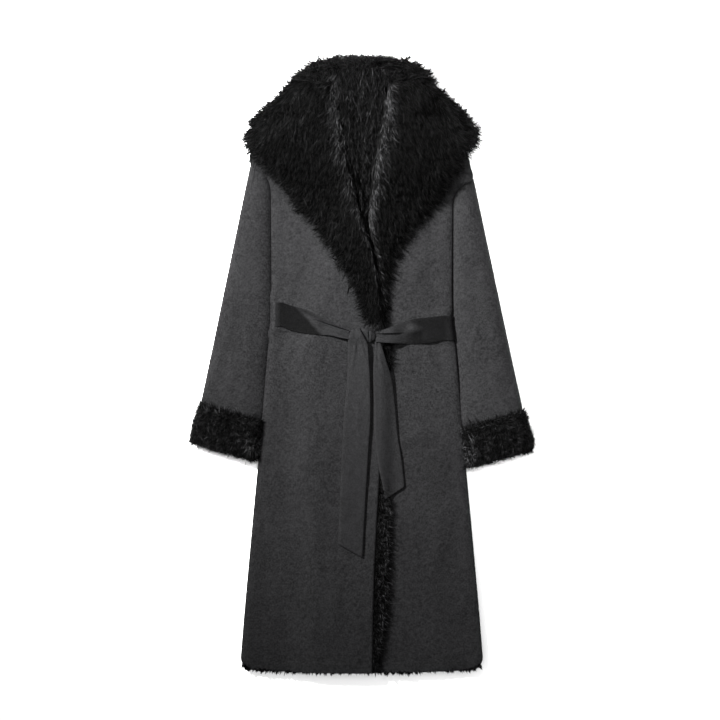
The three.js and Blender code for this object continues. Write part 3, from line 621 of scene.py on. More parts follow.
# Materials
class Look:
    """A material, with short ways to build its node tree."""

    def __init__(self, name):
        self.material = bpy.data.materials.new(name)
        self.material.use_nodes = True
        self.nodes = self.material.node_tree.nodes
        self.links = self.material.node_tree.links
        self.nodes.clear()
        self.shader = self.nodes.new("ShaderNodeBsdfPrincipled")
        self.join(self.shader.outputs[0], self.nodes.new("ShaderNodeOutputMaterial"), 0)

    def join(self, value, node, socket):
        """Links an output to a node's socket, or sets the socket to a number."""
        if isinstance(value, (int, float)):
            node.inputs[socket].default_value = value
        else:
            self.links.new(value, node.inputs[socket])

    def settle(self, **values):
        for name, value in values.items():
            self.shader.inputs[name.replace("_", " ")].default_value = value

    def place(self, kind="Object"):
        return self.nodes.new("ShaderNodeTexCoord").outputs[kind]

    def tone(self):
        node = self.nodes.new("ShaderNodeAttribute")
        node.attribute_name = "tone"
        return node.outputs["Fac"]

    def math(self, operation, *values):
        node = self.nodes.new("ShaderNodeMath")
        node.operation = operation
        for socket, value in enumerate(values):
            self.join(value, node, socket)
        return node.outputs[0]

    def total(self, *parts):
        """Sum of outputs, each given with its weight."""
        result, *others = (self.math("MULTIPLY", *part) for part in parts)
        for part in others:
            result = self.math("ADD", result, part)
        return result

    def ribs(self, place, width):
        return self.math("SINE", self.math("MULTIPLY", place, 2 * math.pi / width))

    def noise(self, place, scale, detail):
        node = self.nodes.new("ShaderNodeTexNoise")
        node.inputs["Scale"].default_value = scale
        node.inputs["Detail"].default_value = detail
        self.join(place, node, "Vector")
        return node.outputs[0]

    def ramp(self, factor, *stops):
        """Colours of a factor, from stops that give a place and a colour."""
        node = self.nodes.new("ShaderNodeValToRGB")
        self.join(factor, node, 0)
        elements = node.color_ramp.elements
        while len(elements) < len(stops):
            elements.new(0.5)
        for element, (place, colour) in zip(elements, stops):
            element.position = place
            element.color = (*colour, 1)
        return node.outputs[0]

    def bump(self, height, strength, distance):
        node = self.nodes.new("ShaderNodeBump")
        node.inputs["Strength"].default_value = strength
        node.inputs["Distance"].default_value = distance
        self.join(height, node, "Height")
        self.join(node.outputs[0], self.shader, "Normal")


def woven(name, dark, light, roughness, rib, sheen, specular, toned=False):
    """Fine slanting twill with slubs: ribs in the bump, and a soft uneven colour."""
    look = Look(name)
    place = look.place()
    parts = look.nodes.new("ShaderNodeSeparateXYZ")
    look.join(place, parts, 0)
    x, y, _ = parts.outputs
    waves = look.ribs(look.math("ADD", x, y), rib)
    cross = look.ribs(look.math("SUBTRACT", x, y), rib * 0.7)
    grain, slubs, cloudy = (look.noise(place, *size) for size in ((330, 3), (120, 4), (9, 5)))
    mixed = look.total((grain, 0.62), (slubs, 0.26), (cloudy, 0.12), (waves, 0.03))
    colour = look.ramp(mixed, (0.38, dark), (0.64, light))
    # The tone attribute scales the colour: on the belt stretches it holds painted shade
    if toned:
        scale = look.nodes.new("ShaderNodeVectorMath")
        scale.operation = "SCALE"
        look.join(colour, scale, 0)
        look.join(look.tone(), scale, "Scale")
        colour = scale.outputs[0]
    look.join(colour, look.shader, "Base Color")
    look.bump(look.total((waves, 0.5), (cross, 0.3), (grain, 1.0), (slubs, 1.2)), 0.35, 0.0006)
    look.settle(Roughness=roughness, Sheen_Weight=sheen, Sheen_Roughness=0.45,
                Specular_IOR_Level=specular)
    return look.material


def black_fur():
    """Black fur: deep at the roots, brighter along the locks, with fine streaks."""
    look = Look("black_fur")
    streaks_and_painted_highlight = look.noise(look.place(), 160, 4)
    broken = look.math("ADD", streaks_and_painted_highlight, 0.45)
    level = look.math("MULTIPLY", look.math("MULTIPLY", look.tone(), 0.6), broken)
    stops = ((0.0, (0.0001, 0.0001, 0.0001)), (0.21, (0.0007, 0.0007, 0.0007)),
             (0.6, (0.011, 0.011, 0.0113)), (1.0, (0.03, 0.03, 0.031)))
    look.join(look.ramp(level, *stops), look.shader, "Base Color")
    look.bump(streaks_and_painted_highlight, 0.5, 0.001)
    look.settle(Roughness=0.5, Specular_IOR_Level=0.025)
    return look.material


CLOTH_LOOK = woven(
    "charcoal_twill", (0.0012, 0.0012, 0.0013), (0.0068, 0.0068, 0.0071),
    roughness=0.6, rib=0.0016, sheen=0.012, specular=0.026,
)
BELT_LOOK = woven(
    "satin_twill", (0.0034, 0.0034, 0.0035), (0.0066, 0.0066, 0.0069),
    roughness=0.45, rib=0.0012, sheen=0.003, specular=0.009, toned=True,
)
FUR_LOOK = black_fur()


def place_piece(piece, slot, *nodes):
    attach(piece, "root")
    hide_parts(*nodes)


# Cloth of the body
def body_rows(count):
    corner = HEM + HEM_CORNER * (1 - np.cos(np.linspace(0, math.pi / 2, 12)))
    return np.concatenate([corner, np.linspace(HEM + HEM_CORNER, NECK, count)[1:]])[:, None]


def bowed(x, y, z):
    return grid_points(x, y - hem_bow(x, y), z)


def back_panel():
    y = body_rows(110)
    turn = np.linspace(0, math.pi / 2, 10)[None, :-1]
    seam = SEAM_HEIGHT - GAP / 2
    right, left = (half_width(side, y) for side in (-1, 1))
    flat = mix(UNDER_ROUND - right, left - UNDER_ROUND, steps_across(30))

    def path(inset):
        turned = (UNDER_ROUND - inset) * (1 - np.cos(turn))
        x = np.concatenate([turned + inset - right, flat, (left - inset - turned)[:, ::-1]], axis=1)
        side = seam - (seam - inset) * np.sin(turn) + 0 * y
        height = np.concatenate([side, inset + 0 * flat, side[:, ::-1]], axis=1)
        z = height + BELT_LIFT * belt_band(x, y) * (1 - height / SEAM_HEIGHT) + lift(y)
        return bowed(x, y, z)

    return wall("back_cloth", path(0.0), path(CLOTH), CLOTH_LOOK)


def side_fold(x, y):
    """A standing fold of the right side that hides the belt where it comes forward."""
    reach = before(np.abs(y - BELT_MIDDLE[-1]), 58, 26)
    return SIDE_FOLD * reach * before(x, SIDE_FOLD_EDGE, 4)


def side_fall(side, x, y):
    """How far a front's top has sunk towards its side edge."""
    inside = half_width(side, y) - UPPER_ROUND - side * x
    return SIDE_FALL * (1 - smooth(inside / SIDE_FALL_REACH)) * (1 - belt_band(x, y))


def front_relief(x, y, seed):
    quiet = 1 - belt_band(x, y)
    creases = RELIEF * quiet * crease_height(CREASES, x, y)
    return creases + undulation(x, y, seed) * (0.4 + 0.6 * quiet)


def front(name, side, seed):
    y = body_rows(170)
    turn = np.linspace(0, math.pi / 2, 12)[None, :-1]
    edge = edge_at(y, "over" if side < 0 else "under")
    flat_from = half_width(side, y) - UPPER_ROUND
    x = mix(side * flat_from, edge, steps_across(72))
    rise = overlap_rise(x, y) if side < 0 else 0
    fade = after(np.abs(x - side * flat_from), 0, 14)
    relief = fade * front_relief(x, y, seed)
    lip = 0.8 * (1 - curve_round(np.abs(edge - x) + 0.2, 3.0))
    stitched = HEM_GROOVE * bell(y - HEM - HEM_SEAM, 1.8)
    fold = side_fold(side * (half_width(side, y) - UPPER_ROUND * (1 - np.cos(turn))), y)
    sunk = side_fall(side, side * flat_from, y)
    base = SEAM_HEIGHT + GAP / 2

    def path(inset):
        arc_x = side * (flat_from + (UPPER_ROUND - inset + fold) * np.cos(turn))
        arc_z = base + (FRONT_TOP - inset + fold - sunk - base) * np.sin(turn) + lift(y)
        edge_lip = lip * (1 if inset == 0 else -0.4)
        z = FRONT_TOP - inset + lift(y) + rise + relief - edge_lip - stitched
        z = z - side_fall(side, x, y)
        return bowed(np.concatenate([arc_x, x], 1), y, np.concatenate([arc_z, z], 1))

    return wall(name, path(0.0), path(CLOTH), CLOTH_LOOK)


# Sleeves and cuffs
def sleeve_edges(s, share):
    """Inner and outer edge of a sleeve at shares of its length, tucked in at its head."""
    head = SLEEVE_HEAD + s["shift"]
    iy = mix(head, s["inner_end"], share)
    oy = mix(s["outer_top"], s["outer_end"], share)
    ix = loose_width(s["side"], np.minimum(iy, head - 4)) - SLEEVE_TUCK
    ox = mix(*SLEEVE_OUTER_X, share) - HEAD_TUCK * before(share, -0.012, 0.03)
    return ix, iy, ox, oy


def cuff_edges(s, along, amount):
    """Edge points of the cuff at distances down the sleeve, moved in by an amount."""
    ix, iy, ox, oy = (float(v) for v in sleeve_edges(s, 1.0))
    width = math.hypot(ox - ix, oy - iy)
    ux, uy = (ox - ix) / width, (oy - iy) / width
    along, amount = np.broadcast_arrays(np.asarray(along, float), np.asarray(amount, float))
    y = iy - ux * along + uy * amount
    beside = body_edge(y) + 0.5 + np.maximum(amount, 0) * ux
    inner = np.maximum(beside, ix + uy * along + ux * amount)
    return inner, y, ox + uy * along - ux * amount, oy - ux * along - uy * amount


def sleeve_stations(s):
    """Edges of the sleeve down to its mouth in the cuff, its height off the floor and its bulge."""
    share = np.linspace(-HEAD_RISE[s["side"]], 0.985, 90)
    floor = CUFF_UNDER * after(share, 0.75, 0.23)
    bulge = HEAD_BULGE * np.clip(1 - share / 0.08, 0, 1)
    down, moved = np.array([(1.0, 1.0), (8.0, 5.0), (20.0, 7.0), (60.0, 7.0), (78.0, 7.0)]).T
    low = np.full(5, CUFF_UNDER + GAP)
    pack = zip((*sleeve_edges(s, share), floor, bulge), (*cuff_edges(s, down, moved), low, low * 0))
    return [np.concatenate(pair)[:, None] for pair in pack]


def sleeve_half(name, s, part):
    ix, iy, ox, oy, floor, bulge = sleeve_stations(s)
    width = np.hypot(ox - ix, oy - iy)
    share = rounded_shares(36)
    edge = np.minimum(share, 1 - share) * width
    radius = np.minimum(mix(SLEEVE_INNER_ROUND, SLEEVE_ROUND, share), width / 2 - 2)
    curve = curve_round(edge, radius)

    def path(inset):
        at = share + inset * (1 - 2 * share) / width
        x = s["side"] * mix(ix, ox, at)
        y = mix(iy, oy, at) + bulge * 4 * at * (1 - at)
        if part == "under":
            tip = SLEEVE_TIP - GAP / 2
            height = tip - (tip - inset) * curve
        else:
            tip = SLEEVE_TIP + GAP / 2
            relief = crease_height(SLEEVE_CREASES, np.abs(x), y) + undulation(x, y, 5 + s["side"])
            height = tip + (SLEEVE_THICKNESS - tip - inset) * curve + relief * after(edge, 0, 20)
        return grid_points(x, y, floor + height)

    return wall(name, path(0.0), path(CLOTH), CLOTH_LOOK)


def flat_ring(s, edges, floor, tip, height):
    """Rings of a flattened tube between its edges, which are at the height of its tip."""
    ix, iy, ox, oy = edges
    share = rounded_shares(28)
    width = np.hypot(ox - ix, oy - iy)
    curve = curve_round(np.minimum(share, 1 - share) * width, CUFF_ROUND)
    x = s["side"] * mix(ix, ox, share)
    y = mix(iy, oy, share)
    upper = grid_points(x, y, floor + tip + (height - tip) * curve + CUFF_LIFT)
    lower = grid_points(x, y, floor + tip - tip * curve)
    return np.concatenate([upper, lower[:, ::-1]], axis=1)


def cuff_form(s, along):
    """The cuff's base, inside its locks: its outer rings and those of its hole."""
    down = along[:, None]
    out = np.interp(down, CUFF_OUT["along"], CUFF_OUT["out"])
    proud = np.interp(down, CUFF_OUT["along"], CUFF_OUT["proud"])
    ix, iy, ox, oy = cuff_edges(s, down, CUFF_BASE_DROP - out * 0.5)
    ix = np.minimum(ix, body_edge(iy) + CUFF_BASE_DROP * 0.5 + 1.0)
    height = CUFF_UNDER + SLEEVE_THICKNESS + CUFF_OVER * proud - CUFF_BASE_DROP
    outer = flat_ring(s, (ix, iy, ox, oy), 0.0, CUFF_TIP, height)
    hole = cuff_edges(s, down, CUFF_INSET - 2.6)
    return outer, flat_ring(s, hole, CUFF_UNDER, SLEEVE_TIP + GAP, SLEEVE_THICKNESS + 1.6)


def cuff(name, s, seed):
    along = np.linspace(4, CUFF_LENGTH - 2, 22)
    outer, inner = cuff_form(s, along)
    ring = np.concatenate([outer, outer[:, :1]], axis=1)
    down = unit(ring[-1:].mean(axis=(0, 1)) - ring[:1].mean(axis=(0, 1)))
    middle = ring.mean(axis=1, keepdims=True)
    middle_x = np.abs(middle[:, 0, 0]).mean()
    away = unit((ring - middle) * np.array([1, 1, 0.2]))
    turned = mix(-0.8, 0.8, after(np.linspace(0, 1, len(along)), 0, 0.3))[:, None, None]

    def shown(u, v, roots):
        return roots[:, 2] > 7

    def next_to_body(u, v, roots):
        return (np.abs(roots[:, 0]) < middle_x - 34) & (roots[:, 2] > 6)

    def outside(u, v, roots):
        return (np.abs(roots[:, 0]) > middle_x + 20) & (roots[:, 2] < 34)

    tuft = grow(ring, unit(down * turned + away * 0.5), 6600, seed, 14.0, 0.85, 30.0, 0.6,
                bright=1.5, keep=shown, middle=middle[:-1])
    toward = unit(np.array([-s["side"], -0.35, 0.25])) + 0 * ring
    curls = grow(ring, toward, 5200, seed + 2, 11.0, 0.8, 34.0, 1.5, keep=next_to_body,
                 bright=lambda u, v: 1 + 4 * after(u, 0.35, 0.3), middle=middle[:-1])
    aside = grow(ring, unit(away + 0.2 * down), 3600, seed + 3, 9.0, 1.1, 20.0, 1.2,
                 keep=outside, middle=middle[:-1], ragged=0.45)
    rim = np.stack([outer[-1], mix(outer[-1], inner[-1], 0.5), inner[-1]])
    rim = np.concatenate([rim, rim[:, :1]], axis=1)
    mouth = grow(rim, down + 0 * rim, 3200, seed + 1, 9.0, 1.2, 6.0, 1.2, ragged=0.5)
    return fur_piece(name, outer, inner, [tuft, curls, aside, mouth], closed=True)


# Fur lining
def inside_low(d):
    curve = curve_round(d - CLOTH, UNDER_ROUND - CLOTH)
    return SEAM_HEIGHT - (SEAM_HEIGHT - CLOTH) * curve


def inside_top(d):
    curve = curve_round(d - CLOTH, UPPER_ROUND - CLOTH)
    return SEAM_HEIGHT + (FRONT_TOP - CLOTH - SEAM_HEIGHT) * curve


def hem_line(x):
    """The hem's edge with its round corners and its bow."""
    past = np.clip((np.abs(x) - HEM_HALF + HEM_CORNER) / HEM_CORNER, 0, 1)
    return HEM + HEM_CORNER * (1 - np.sqrt(1 - past ** 2)) - hem_bow(x, HEM)


def hem_tufts(start, end, low, count, seed):
    """Curly locks that hang out under the hem between two places across it."""
    x = steps_across(60, start, end)
    inside = steps_down(4)
    rows = grid_points(x, hem_line(x) + HEM_TUCK, low + 6 * inside)
    flow = unit(grid_points(0.002 * rows[..., 0], -1, 0))
    return grow(rows, flow, count, seed, HEM_TUCK + 2.6, 1.6, 4.0, 1.1, ragged=0.5,
                middle=rows.mean((0, 1)) + [0, 60, 0])


def back_lining():
    y = body_rows(70)
    t = steps_across(30, -1, 1)
    half = np.where(t < 0, half_width(-1, y), half_width(1, y))
    x = t * (half - LINING_INSET)
    low = np.maximum(CLOTH + GAP, inside_low(half - np.abs(x)) + 1) + BELT_LIFT * belt_band(x, y)
    top = bowed(x, y, BACK_LINING_TOP + lift(y))
    bottom = bowed(x, y, low + lift(y))
    return fur_piece("back_fur_lining", top, bottom, [hem_tufts(-250, 250, 3.5, 2900, 71)])


def strip_edge(y):
    """Outer edge of the fur's base where it shows past the lapping front."""
    return edge_at(y, "strip") - 9 * before(y, 60, 30) - 7 * before(y, -480, 140)


def front_lining(name, side, seed):
    y = body_rows(90)
    w = half_width(side, y)
    last = strip_edge(y) if side < 0 else edge_at(y, "under")
    x = mix(side * (w - LINING_INSET), last, steps_across(40))
    under_round = np.minimum(FRONT_LINING_TOP, inside_top(w - np.abs(x)) - 1)
    capped = np.where(side * x > 0, under_round, FRONT_LINING_TOP)
    rise = proud = 0
    if side < 0:
        rise = overlap_rise(x, y)
        proud = 3.0 * after(x, edge_at(y, "over"), 8) * before(y, 60, 30)
    fall = side_fall(side, x, y)
    top = bowed(x, y, capped + rise + lift(y) - proud - fall)
    bottom = bowed(x, y, FRONT_LINING_LOW + rise + lift(y) - 0.3 * fall)
    ends = (-249, 20) if side < 0 else (-50, 249)
    tufts = [hem_tufts(*ends, FRONT_LINING_LOW + 2, 1500, seed)]
    if side < 0:
        tufts += edge_strip_tufts(seed + 3)
    return fur_piece(name, top, bottom, tufts)


def edge_strip_tufts(seed):
    """Locks of the strip that shows along the lapping front's edge."""
    y = steps_down(120, HEM - 2, 52)
    x = mix(edge_at(y, "over") - 1, strip_edge(y), steps_across(5))
    top = bowed(x, y, LAPPED_TOP - CLOTH - 3.5)

    def clear(u, v, roots):
        """Places outside the left tail and above the hem."""
        rx, ry = roots[:, 0], roots[:, 1]
        left = np.interp(-ry, -TAIL_LEFT["ly"], TAIL_LEFT["lx"]) + 1
        right = np.interp(-ry, -TAIL_LEFT["ry"], TAIL_LEFT["rx"]) - 3
        return ((ry < -268) | (ry > 48) | (rx < left) | (rx > right)) & (ry > HEM + 11)

    # Painted light on the laid locks, with a painted shadow right at the lapping front's edge and
    # painted shade at the top, by the left tail and under the belt
    def laid_painted_light(u, v):
        return 2.3 * after(v, 0, 0.45) * (1 - 0.85 * after(u, 0.8, 0.06))

    # Painted shade: the edge locks go dark at the top, by the left tail and under the belt
    def edge_painted_shade(u, v):
        return 1.1 - after(u, 0.8, 0.06)

    flow = unit(np.array([0.62, -1.0, 0.0])) + 0 * top
    laid = grow(top, flow, 5200, seed, 19.0, 0.8, 26.0, 0.4, bright=laid_painted_light, keep=clear)
    side = np.stack([top[:, -1], top[:, -1] - np.array([0, 0, 7.0])], axis=1)
    middle = side.mean(1, keepdims=True)[:-1] - [5, 0, 0]
    flow = unit(np.array([1.0, -0.8, 0.05])) + 0 * side
    edge = grow(side, flow, 2600, seed + 1, 13.0, 0.9, 8.0, 0.5, bright=edge_painted_shade, keep=clear,
                middle=middle)
    return [laid, edge]


# Collar
def soft_seat(x, y):
    """Height of what the collar lies on: the fronts, and the fall past their edges."""
    capped = np.minimum(y, NECK)
    half = np.where(x < 0, half_width(-1, capped), half_width(1, capped))
    drop = np.maximum(after(np.abs(x), half - 10, 90), after(y, 520, 110))
    body = FRONT_TOP + lift(y) + np.where(x < edge_at(y, "over"), overlap_rise(x, y), 0)
    return mix(body, FALL_THICKNESS + 6, drop)


def lapel_grid(rows, s, t, inset):
    """A lapel's top, moved in from its outline and down from its tips."""
    ox, oy, rx, ry, fur = (through(rows, column, s) for column in rows)
    width = np.hypot(rx - ox, ry - oy)
    near = np.minimum(inset * (0.45 + 0.55 * after(s, 0, 0.12)), width * 0.3)
    ux, uy = (rx - ox) / width, (ry - oy) / width
    x = mix(ox + ux * near, rx + ux * ROLL_OUT, t)
    y = mix(oy + uy * near, ry + uy * ROLL_OUT, t)
    width = width - near + ROLL_OUT
    outer = curve_round(t * width + 1, np.minimum(34, width * 0.5))
    roll = curve_round((1 - t) * width + 1.5, np.minimum(24, width * 0.4))
    curve = np.minimum(outer, roll)
    height = fur * mix(0.82, 1.08, t) * curve - np.minimum(LAPEL_DROP, fur * 0.45) * curve
    return grid_points(x, y, soft_seat(x, y) + height)


def lapel(name, rows, seed, count):
    s = steps_down(120)
    t = steps_across(34)
    top = lapel_grid(rows, s, t, 15.0)
    low = top.copy()
    low[..., 2] = np.minimum(soft_seat(top[..., 0], top[..., 1]) + 0.5, top[..., 2] - 1)
    out = unit(top[:, :1] - top[:, -1:]) + 0 * top
    roll = unit(np.gradient(top[:, -1], axis=0))[:, None] + 0 * top
    near_roll = after(t, 0.62, 0.33)[..., None]
    near_edge = before(t, 0.3, 0.3)[..., None]
    near_top = before(s, 0.16, 0.16)[..., None]
    flow = mix(DOWN + 0.25 * out, roll + 0.75 * out, near_roll)
    flow = mix(unit(flow), unit(out + 0.25 * DOWN), np.maximum(near_edge * 0.85, near_top))

    # Painted highlight along the rolled edge; the locks are also a little brighter along the outer
    # edge
    def streaks_and_painted_highlight(u, v):
        return 0.74 + 1.4 * bell(v - 0.93, 0.09) + 0.5 * bell(v, 0.12)

    main = grow(top, unit(flow), count, seed, 30.0, 0.66, 22.0, 0.2, bright=streaks_and_painted_highlight)
    rim_rows = lapel_grid(rows, s, np.array([[0.0, 0.015, 0.03]]), 13.0)
    rim_rows[..., 2] -= 3.0
    rim_flow = unit(rim_rows[:, :1] - top[:, -1:]) + 0 * rim_rows
    rim = grow(rim_rows, rim_flow, 1300, seed + 1, 18.0, 1.3, 8.0, 0.8, ragged=0.4)
    crest_flow = unit(roll[:, -5:-1] + 0.35 * out[:, -5:-1])
    # The crest locks' brightness is a painted highlight along the roll
    crest = grow(top[:, -5:-1], crest_flow, 1500, seed + 2, 20.0, 0.5, 12.0, 0.3, bright=6.5)
    crown_flow = unit(0.3 * out[:12] - DOWN)
    crown = grow(top[:12], crown_flow, 600, seed + 3, 19.0, 1.2, 18.0, 1.0, ragged=0.5)
    return fur_piece(name, top, low, [main, rim, crest, crown])


def collar_back():
    s = steps_down(90)
    t = steps_across(20)
    y, left, right, low, high = (through(COLLAR_BACK, column, s) for column in COLLAR_BACK)
    y = np.minimum(y, DOME_TOP + 3 * (y - DOME_TOP) / 12)
    x = mix(left, right, t) * (1 - 0.3 * after(s, 0.86, 0.14) ** 2)
    sag = 0.8 + 0.2 * np.sin(math.pi * t)
    beside_roll = 13 * before(t, 0.42, 0.42) * before(s, 0.9, 0.3)
    top = grid_points(x, y, mix(low, high - 7, sag) + beside_roll)
    bottom = grid_points(x, y, np.minimum(low, high - 9))
    flow = unit(DOWN + grid_points(x / 400, 0, 0))
    main = grow(top, flow, 4800, 31, 27.0, 0.6, 24.0, 0.25, bright=lambda u, v: 1.55 + 0.2 * u)
    rim_rows = top[-22:]
    rim_flow = unit(grid_points(rim_rows[..., 0] / 90, 1, 0))
    rim = grow(rim_rows, rim_flow, 2200, 33, 19.0, 1.1, 24.0, 1.1, ragged=0.45)
    lower = rim_rows[-6:] - np.array([0, 0, 9.0])
    brim = grow(lower, rim_flow[-6:], 1200, 35, 18.0, 1.3, 6.0, 1.2, ragged=0.5)
    return fur_piece("collar_back_fur", top, bottom, [main, rim, brim])


def collar_fall():
    s = steps_down(60)
    t = steps_across(40, -1, 1)
    y, x = through(FALL, "y", s), t * (through(FALL, "half", s) - 10)
    end = np.minimum(1, 0.45 + 5 * np.minimum(s, 1 - s))
    edge = np.minimum(1, 0.35 + 3.2 * (1 - np.abs(t)))
    thick = FALL_THICKNESS / 2 * np.minimum(end, edge)
    top = grid_points(x, y, FALL_THICKNESS / 2 + thick)
    bottom = grid_points(x, y, FALL_THICKNESS / 2 - thick)

    def near_rim(u, v, roots):
        return (np.abs(v - 0.5) > 0.42) | (u > 0.86) | (u < 0.08)

    away = unit(grid_points(x, (y - 520) * 1.4, 0))
    tuft = grow(top, away, 9000, 37, 17.0, 0.8, 10.0, 0.45, keep=near_rim)
    return fur_piece("collar_fall_fur", top, bottom, [tuft])


# Belt
def gathered(v, close):
    """Height across the belt of the folds that gather towards the knot."""
    ridges = 2.0 * bell(v - 0.22, 0.13) + 1.8 * bell(v - 0.7, 0.14)
    return close * (ridges - 1.2 * bell(v - 0.45, 0.07))


def belt_side(side, v, out):
    """The belt's way round the body's side, from below to above."""
    turn = steps_down(22, -math.pi / 2, math.pi / 2)
    y = BELT_MIDDLE[side] + BELT_HALF * (1 - 2 * v)
    radius = np.where(turn < 0, UNDER_ROUND, UPPER_ROUND)
    rise = np.where(turn < 0, SEAM_HEIGHT, FRONT_TOP - SEAM_HEIGHT)
    x = half_width(side, y) + out - (radius + out) * (1 - np.cos(turn))
    floor = np.where(turn < 0, BELT_LIFT * np.abs(np.sin(turn)), 0)
    return grid_points(side * x, y, SEAM_HEIGHT + (rise + out) * np.sin(turn) + floor)


def belt_stretch(name, side, rows):
    v = steps_across(64)
    s = steps_down(110)
    x, top, bottom = (through(rows, column, s) for column in rows)
    y = mix(top, bottom, v)
    if side < 0:
        seat = FRONT_TOP + lift(y) + overlap_rise(x, y)
    else:
        seat = mix(FRONT_TOP, LAPPED_TOP, before(x, 104, 46))
    close = before(np.abs(x - 1), 112, 88)
    near_hem = np.minimum(v, 1 - v)
    fold = 0.5 * gathered(v, close) + 3.5 * close ** 2 + 0.25 * np.sin(y / 7 + x / 23)
    fold = fold + BELT_DROOP[side] * close * after(v, 0.55, 0.45)
    fold = fold + crease_height(BELT_FOLDS, x, y) * smooth(near_hem * 9)
    fold = fold + lip_height(BELT_LIPS, x, y)
    hem = 0.5 * bell(near_hem, 0.05)
    low = seat + BELT_CLEAR + fold * 0.8
    high = seat + BELT_CLEAR + CLOTH + fold - hem
    inner = np.concatenate([belt_side(side, v, BELT_CLEAR), grid_points(x, y, low)])
    outer = np.concatenate([belt_side(side, v, BELT_CLEAR + CLOTH), grid_points(x, y, high)])
    return shade(wall(name, outer, inner, BELT_LOOK), belt_painted_shade)


def belt_painted_shade(x, y):
    """Painted shade, darker at the sides where the belt turns away and along the right stretch's
    fold.
    """
    left = after(-x - 0.88 * (y - 70), 83, 14)
    fold = 0.62 * bell(y - 92.4 + 0.5 * (x + 77.7), 5.5) * before(x, -58, 40)
    right = after(x - 24 * bell(y - 79, 10), 78, 34)
    # Less painted shade right at the body's edge
    side = 0.3 * after(np.abs(x), 170, 12)
    return 0.96 - (0.79 - side) * np.where(x < 0, np.maximum(left, fold), 0.93 * right)


def shade(piece, painted_shade=None):
    """Gives a belt piece its tone: painted shade where the belt turns away, or an even 1."""
    points = np.empty(len(piece.data.vertices) * 3, np.float32)
    piece.data.vertices.foreach_get("co", points)
    x, y, _ = points.reshape(-1, 3).T / MM
    add_tone(piece.data, np.ones(len(x)) if painted_shade is None else painted_shade(x, y))
    return piece


def belt_tail(name, rows, rise, droop, seed):
    s = steps_down(150)
    v = steps_across(30)
    lx, ly, rx, ry = (through(rows, column, s) for column in rows)
    x, y = mix(lx, rx, v), mix(ly, ry, v)
    stand = mix(*(soft(rise, "y", y, edge, 5.0) for edge in ("left", "right")), v)
    fold = 0.5 * gathered(v + 0.1 * s, np.exp(-s * 6)) + crease_height(BELT_FOLDS, x, y)
    low = LAPPED_TOP + stand - droop * after(x, 38, 34) + fold + undulation(x, y, seed, 0.2) + 1.0
    edge = 1.6 * bell(v, 0.045) + 0.7 * bell(1 - v, 0.045)
    outer, inner = grid_points(x, y, low + CLOTH - edge), grid_points(x, y, low)
    return shade(wall(name, outer, inner, BELT_LOOK))


def belt_knot():
    """The knot's wrapped turn, half hidden by the tail that hangs over it."""
    a = np.linspace(0, 2 * math.pi, 80, endpoint=False)[None]
    r = steps_down(26, 0.02, 1)

    def power(c):
        return np.sign(c) * np.abs(c) ** 0.72

    x = KNOT_X + KNOT_HALF_X * r * power(np.cos(a)) * (1 - 0.1 * r * np.sin(a))
    y = KNOT_Y + KNOT_HALF_Y * r * power(np.sin(a)) * (1 - 0.1 * power(np.cos(a)))
    dome = np.sqrt(np.maximum(0, 1 - r ** 2.6))
    tail_edge = 5.5 + (63 - y) * 0.607
    top = KNOT_TOP + (3.0 + 10.0 * after(x - tail_edge, 1.5, 5)) * dome
    for fx, fy, slant, width, depth in zip(*KNOT_FOLDS.values()):
        _, across = line_places(x, y, fx, fy, slant)
        top = top - depth * bell(across, width) * (0.25 + 0.75 * dome)
    upper, lower = grid_points(x, y, top), grid_points(x, y, KNOT_LOW - 1.5 * dome)
    return shade(wall("belt_knot_cloth", upper, lower, BELT_LOOK, closed=True))


def place_sheet(piece, slot, node):
    place_piece(piece, slot, node)


place_sheet(back_panel(), "cloth", "back_panel")
for word, side, seed, wide in (("right", -1, 11, 0.31), ("left", 1, 17, 0.34)):
    half = front(f"{word}_front_cloth", side, seed)
    place_sheet(half, "cloth", f"{word}_front")
for word, sleeve in SLEEVES.items():
    for part in ("top", "under"):
        half = sleeve_half(f"{word}_sleeve_{part}_cloth", sleeve, part)
        place_sheet(half, "cloth", f"{word}_sleeve_{part}")

for word, side, rows in (("right", -1, BELT_RIGHT), ("left", 1, BELT_LEFT)):
    half = belt_stretch(f"belt_{word}_cloth", side, rows)
    place_sheet(half, "belt", f"belt_{word}")
tail = belt_tail("belt_tail_right_cloth", TAIL_RIGHT, TAIL_RIGHT_RISE, 0.0, 23)
place_sheet(tail, "belt", "belt_tail_right")
tail = belt_tail("belt_tail_left_cloth", TAIL_LEFT, TAIL_LEFT_RISE, 11.0, 29)
place_sheet(tail, "belt", "belt_tail_left")
place_piece(belt_knot(), "belt", "belt_knot")
under_strip = frame["nodes"]["belt_back"]
under_strip.data.materials.clear()
under_strip.data.materials.append(BELT_LOOK)
shade(under_strip)

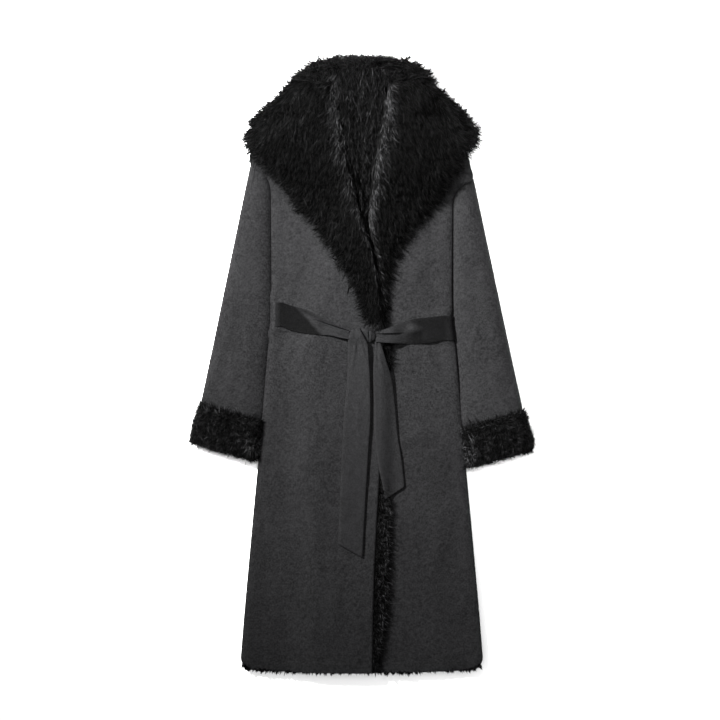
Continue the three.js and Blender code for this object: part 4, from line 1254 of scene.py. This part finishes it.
place_piece(back_lining(), "fur", "back_lining")
for word, side, seed in (("right", -1, 81), ("left", 1, 91)):
    half = front_lining(f"{word}_front_fur_lining", side, seed)
    place_piece(half, "fur", f"{word}_front_lining")
place_piece(lapel("right_lapel_fur", LAPEL_RIGHT, 51, 8600), "fur", "right_lapel")
place_piece(lapel("left_lapel_fur", LAPEL_LEFT, 61, 8400), "fur", "left_lapel")
place_piece(collar_back(), "fur", "collar_back")
place_piece(collar_fall(), "fur", "collar_fall")
for seed, (word, sleeve) in zip((101, 108), SLEEVES.items()):
    place_piece(cuff(f"{word}_cuff_fur", sleeve, seed), "fur", f"{word}_cuff")


# Floor, light and camera
def floor():
    bpy.ops.mesh.primitive_plane_add(size=FLOOR_SIZE, location=(0, 0, -FLOOR_DROP))
    plane = bpy.context.object
    plane.name = "floor"
    look = Look("pale_floor")
    stops = ((0.3, (0.95, 0.95, 0.95)), (0.7, (0.97, 0.97, 0.97)))
    patches = look.noise(look.place("Generated"), 3, 2)
    look.join(look.ramp(patches, *stops), look.shader, "Base Color")
    look.settle(Roughness=0.9)
    plane.data.materials.append(look.material)


def area_light(name, place, aim, size, power, spread):
    data = bpy.data.lights.new(name, "AREA")
    data.shape = "RECTANGLE"
    data.size, data.size_y = size
    data.energy = power
    data.spread = math.radians(spread)
    lamp = bpy.data.objects.new(name, data)
    lamp.location = place
    way = np.array(aim, float) - np.array(place, float)
    lamp.rotation_euler = Vector(way).to_track_quat("-Z", "Y").to_euler()
    bpy.context.scene.collection.objects.link(lamp)


def camera():
    data = bpy.data.cameras.new("camera")
    data.sensor_width = SENSOR
    data.lens = SENSOR * CAMERA_HEIGHT / (FRAME_PIXELS * PIXEL * MM)
    view = bpy.data.objects.new("camera", data)
    x, y = CAMERA_MIDDLE
    view.location = (x * MM, y * MM, CAMERA_HEIGHT + SUBJECT_HEIGHT)
    bpy.context.scene.collection.objects.link(view)
    bpy.context.scene.camera = view


floor()
area_light("key", (-2.2, 1.6, 2.6), (0.18, 0.28, 0.0), (0.35, 0.35), 80, 38)
area_light("crown", (0.35, 0.6, 2.4), (0.18, 0.4, 0.0), (0.8, 0.6), 6, 44)
world = bpy.data.worlds.new("soft_sky")
world.use_nodes = True
world.node_tree.nodes["Background"].inputs[0].default_value = (1, 1, 1, 1)
world.node_tree.nodes["Background"].inputs[1].default_value = SKY_LIGHT
bpy.context.scene.world = world
bpy.context.scene.view_settings.view_transform = "Standard"
camera()
